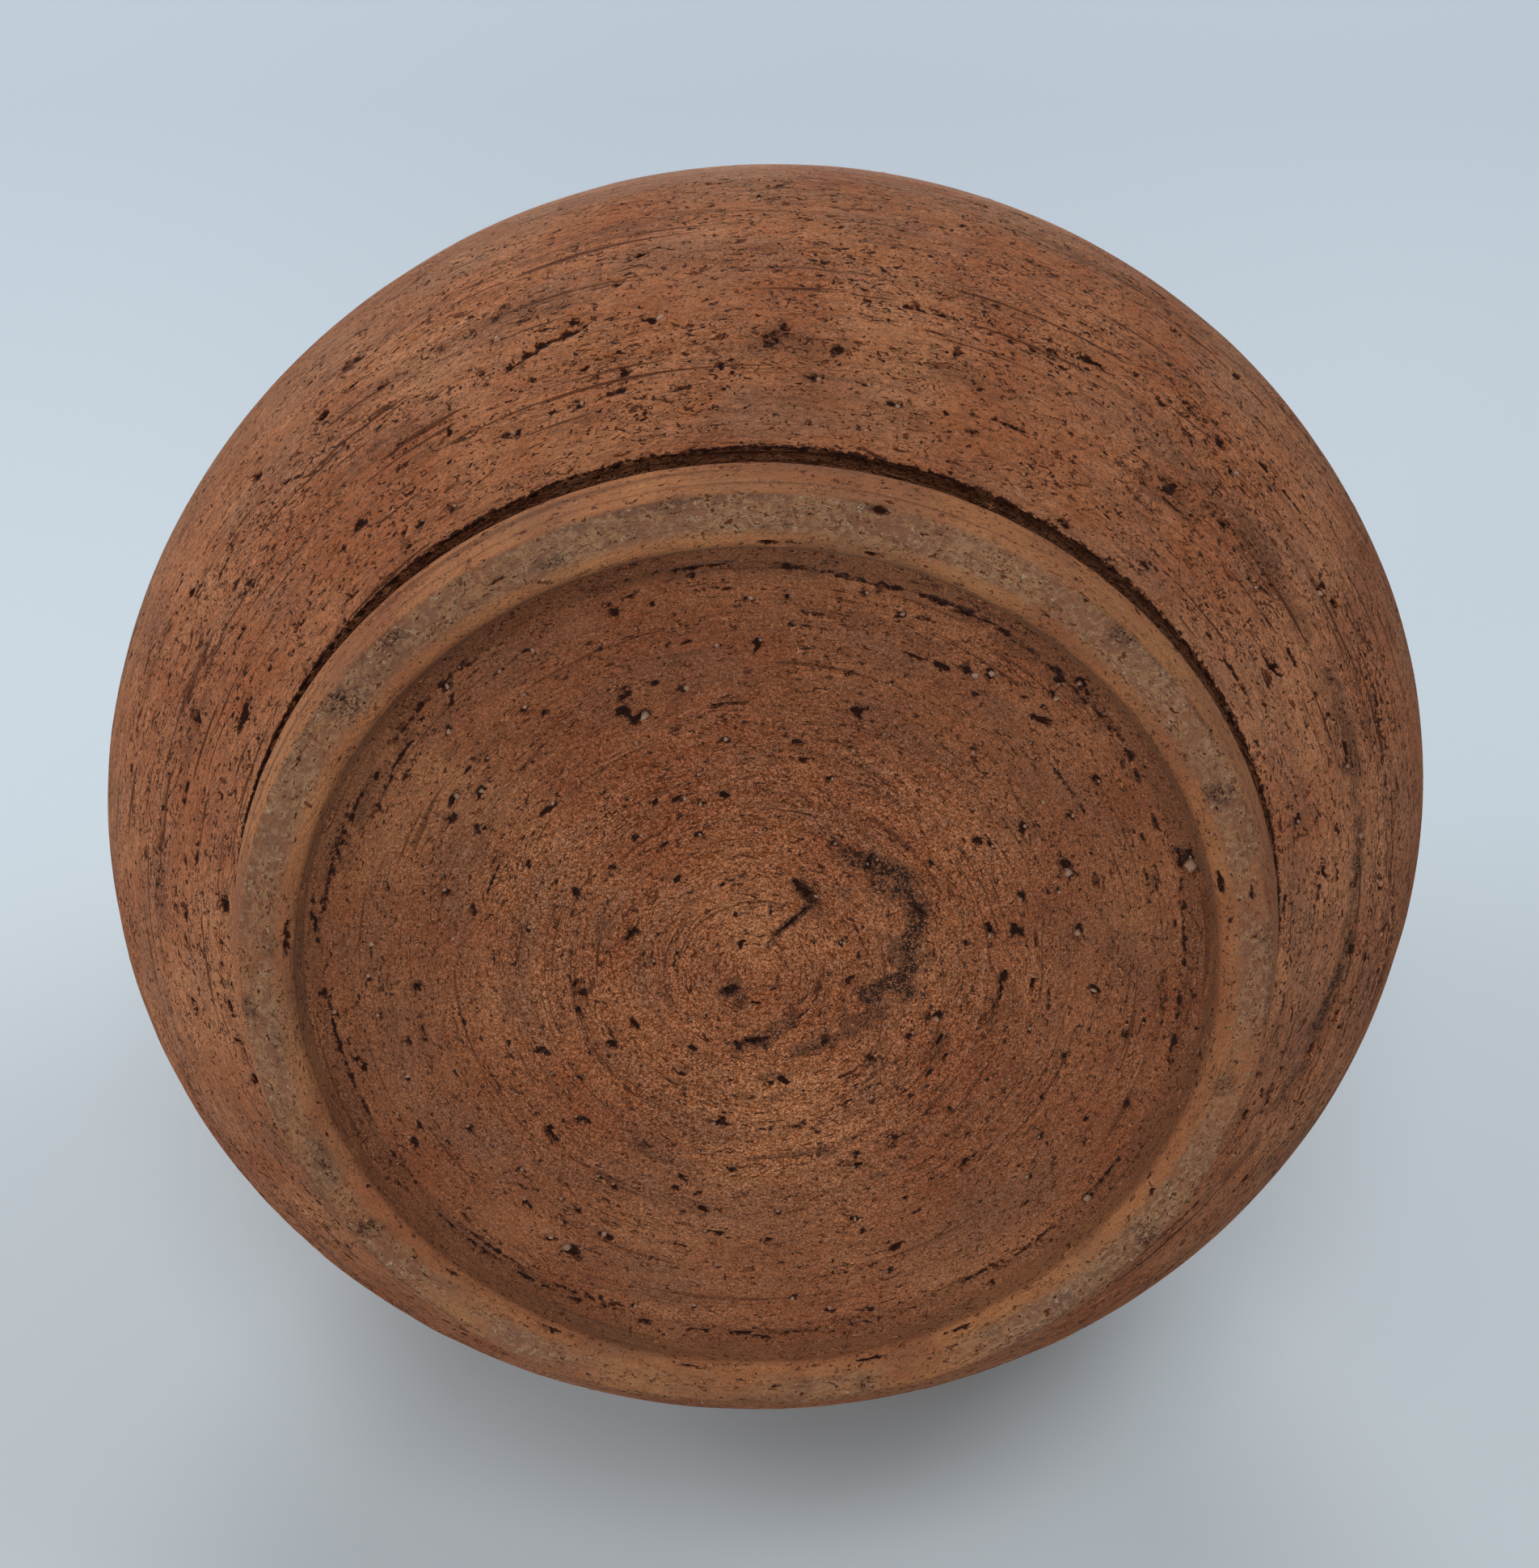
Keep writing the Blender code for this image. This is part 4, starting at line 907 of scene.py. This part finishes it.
def pale_board(name, middle, front, painted_light_bands=()):
    """A flat board that faces front, with shades by height. Its back is clear, it fades out away from its
    middle, and it takes shadows without giving any."""
    board = bpy.data.meshes.new(name)
    bm = bmesh.new()
    facing = Matrix.Translation(middle) @ front.to_track_quat("Z", "X").to_matrix().to_4x4()
    bmesh.ops.create_grid(bm, x_segments=1, y_segments=1, size=BOARD / 2, matrix=facing)
    bm.to_mesh(board)
    bm.free()
    material = bpy.data.materials.new(name + "_matt_paint")
    material.use_nodes = True
    tree = material.node_tree
    tree.nodes.clear()
    place = add(tree, "TexCoord").node.outputs["Object"]
    height = add(tree, "SeparateXYZ", {0: place}).node.outputs[2]
    shade = linear(PALE)
    # Each band is painted light on the board.
    for low, high, tint in painted_light_bands:
        share = add(tree, "MapRange", {0: height, 1: low, 2: high})
        shade = add(tree, "Mix", {0: share, 6: shade, 7: linear(tint)}, data_type="RGBA")
    paint = add(tree, "BsdfDiffuse", {"Color": shade})
    clear = add(tree, "BsdfTransparent")
    back = add(tree, "NewGeometry").node.outputs["Backfacing"]
    away = add(tree, "VectorMath", {0: place, 1: middle}, operation="DISTANCE")
    faded = add(tree, "MapRange", {0: away, 1: FADES, 2: GONE})
    unseen = add(tree, "Math", {0: back, 1: faded}, operation="MAXIMUM")
    side = add(tree, "MixShader", {0: unseen, 1: paint, 2: clear})
    add(tree, "OutputMaterial", {"Surface": side})
    board.materials.append(material)
    piece = bpy.data.objects.new(name, board)
    scene.collection.objects.link(piece)
    for ray in ("diffuse", "glossy", "transmission", "shadow"):
        setattr(piece, "visible_" + ray, False)


up_off_table = Vector((0, -math.cos(TABLE_LEAN), -math.sin(TABLE_LEAN)))
back_along_table = Vector((0, -math.sin(TABLE_LEAN), math.cos(TABLE_LEAN)))
touching = max((-up_off_table).dot(v.co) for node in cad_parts.values() for v in node.data.vertices)
pale_board("table", -up_off_table * (touching + CLEARANCE) + back_along_table * TABLE_AHEAD, up_off_table,
           TABLE_PAINTED_LIGHT)
pale_board("floor", Vector((0, 0, cad_box[0][2] - CLEARANCE)), Vector((0, 0, 1)))

# Lights
# Soft lamps stand to the left, to the right, behind the mouth and by the camera, and the pale room gives a
# little light all round. The last lamp is over the mouth, for the views in which the vase stands.
LAMPS = (                   # degrees over the table and round from the mouth, metres away and wide, watts
    ("overhead", 74, 180, 1.2, 0.55, 3.4),
    ("window_left", 12, -70, 1.2, 0.55, 5.0),
    ("wall_left", 12, -110, 1.2, 0.55, 2.9),
    ("window_right", 52, 70, 1.2, 0.55, 2.6),
    ("behind_mouth", 32, 0, 1.2, 0.55, 4.7),
    ("front", 12, 180, 1.2, 0.55, 4.2),
    ("over_mouth", -22, 0, 1.1, 0.6, 7.0),
)
LAMP_AIM = Vector((0, 0, 0.04))
ROOM_LIGHT = 0.20
world = bpy.data.worlds.new("pale_room")
world.use_nodes = True
scene.world = world
room = world.node_tree
room.nodes.clear()
seen = add(room, "Background", {"Color": linear(PALE), "Strength": 1.0})
around = add(room, "Background", {"Color": (1.0, 1.0, 1.0, 1.0), "Strength": ROOM_LIGHT})
to_the_eye = add(room, "LightPath").node.outputs["Is Camera Ray"]
either = add(room, "MixShader", {0: to_the_eye, 1: around, 2: seen})
add(room, "OutputWorld", {"Surface": either})
for name, height, turn, distance, width, power in LAMPS:
    lamp = bpy.data.lights.new(name, "AREA")
    lamp.shape = "DISK"
    lamp.size = width
    lamp.energy = power
    holder = bpy.data.objects.new(name, lamp)
    scene.collection.objects.link(holder)
    height, turn = math.radians(height), math.radians(turn)
    level = back_along_table * math.cos(turn) + Vector((1, 0, 0)) * math.sin(turn)
    direction = up_off_table * math.sin(height) + level * math.cos(height)
    holder.location = LAMP_AIM + direction * distance
    holder.rotation_euler = direction.to_track_quat("Z", "Y").to_euler()

scene.view_settings.view_transform = "Standard"
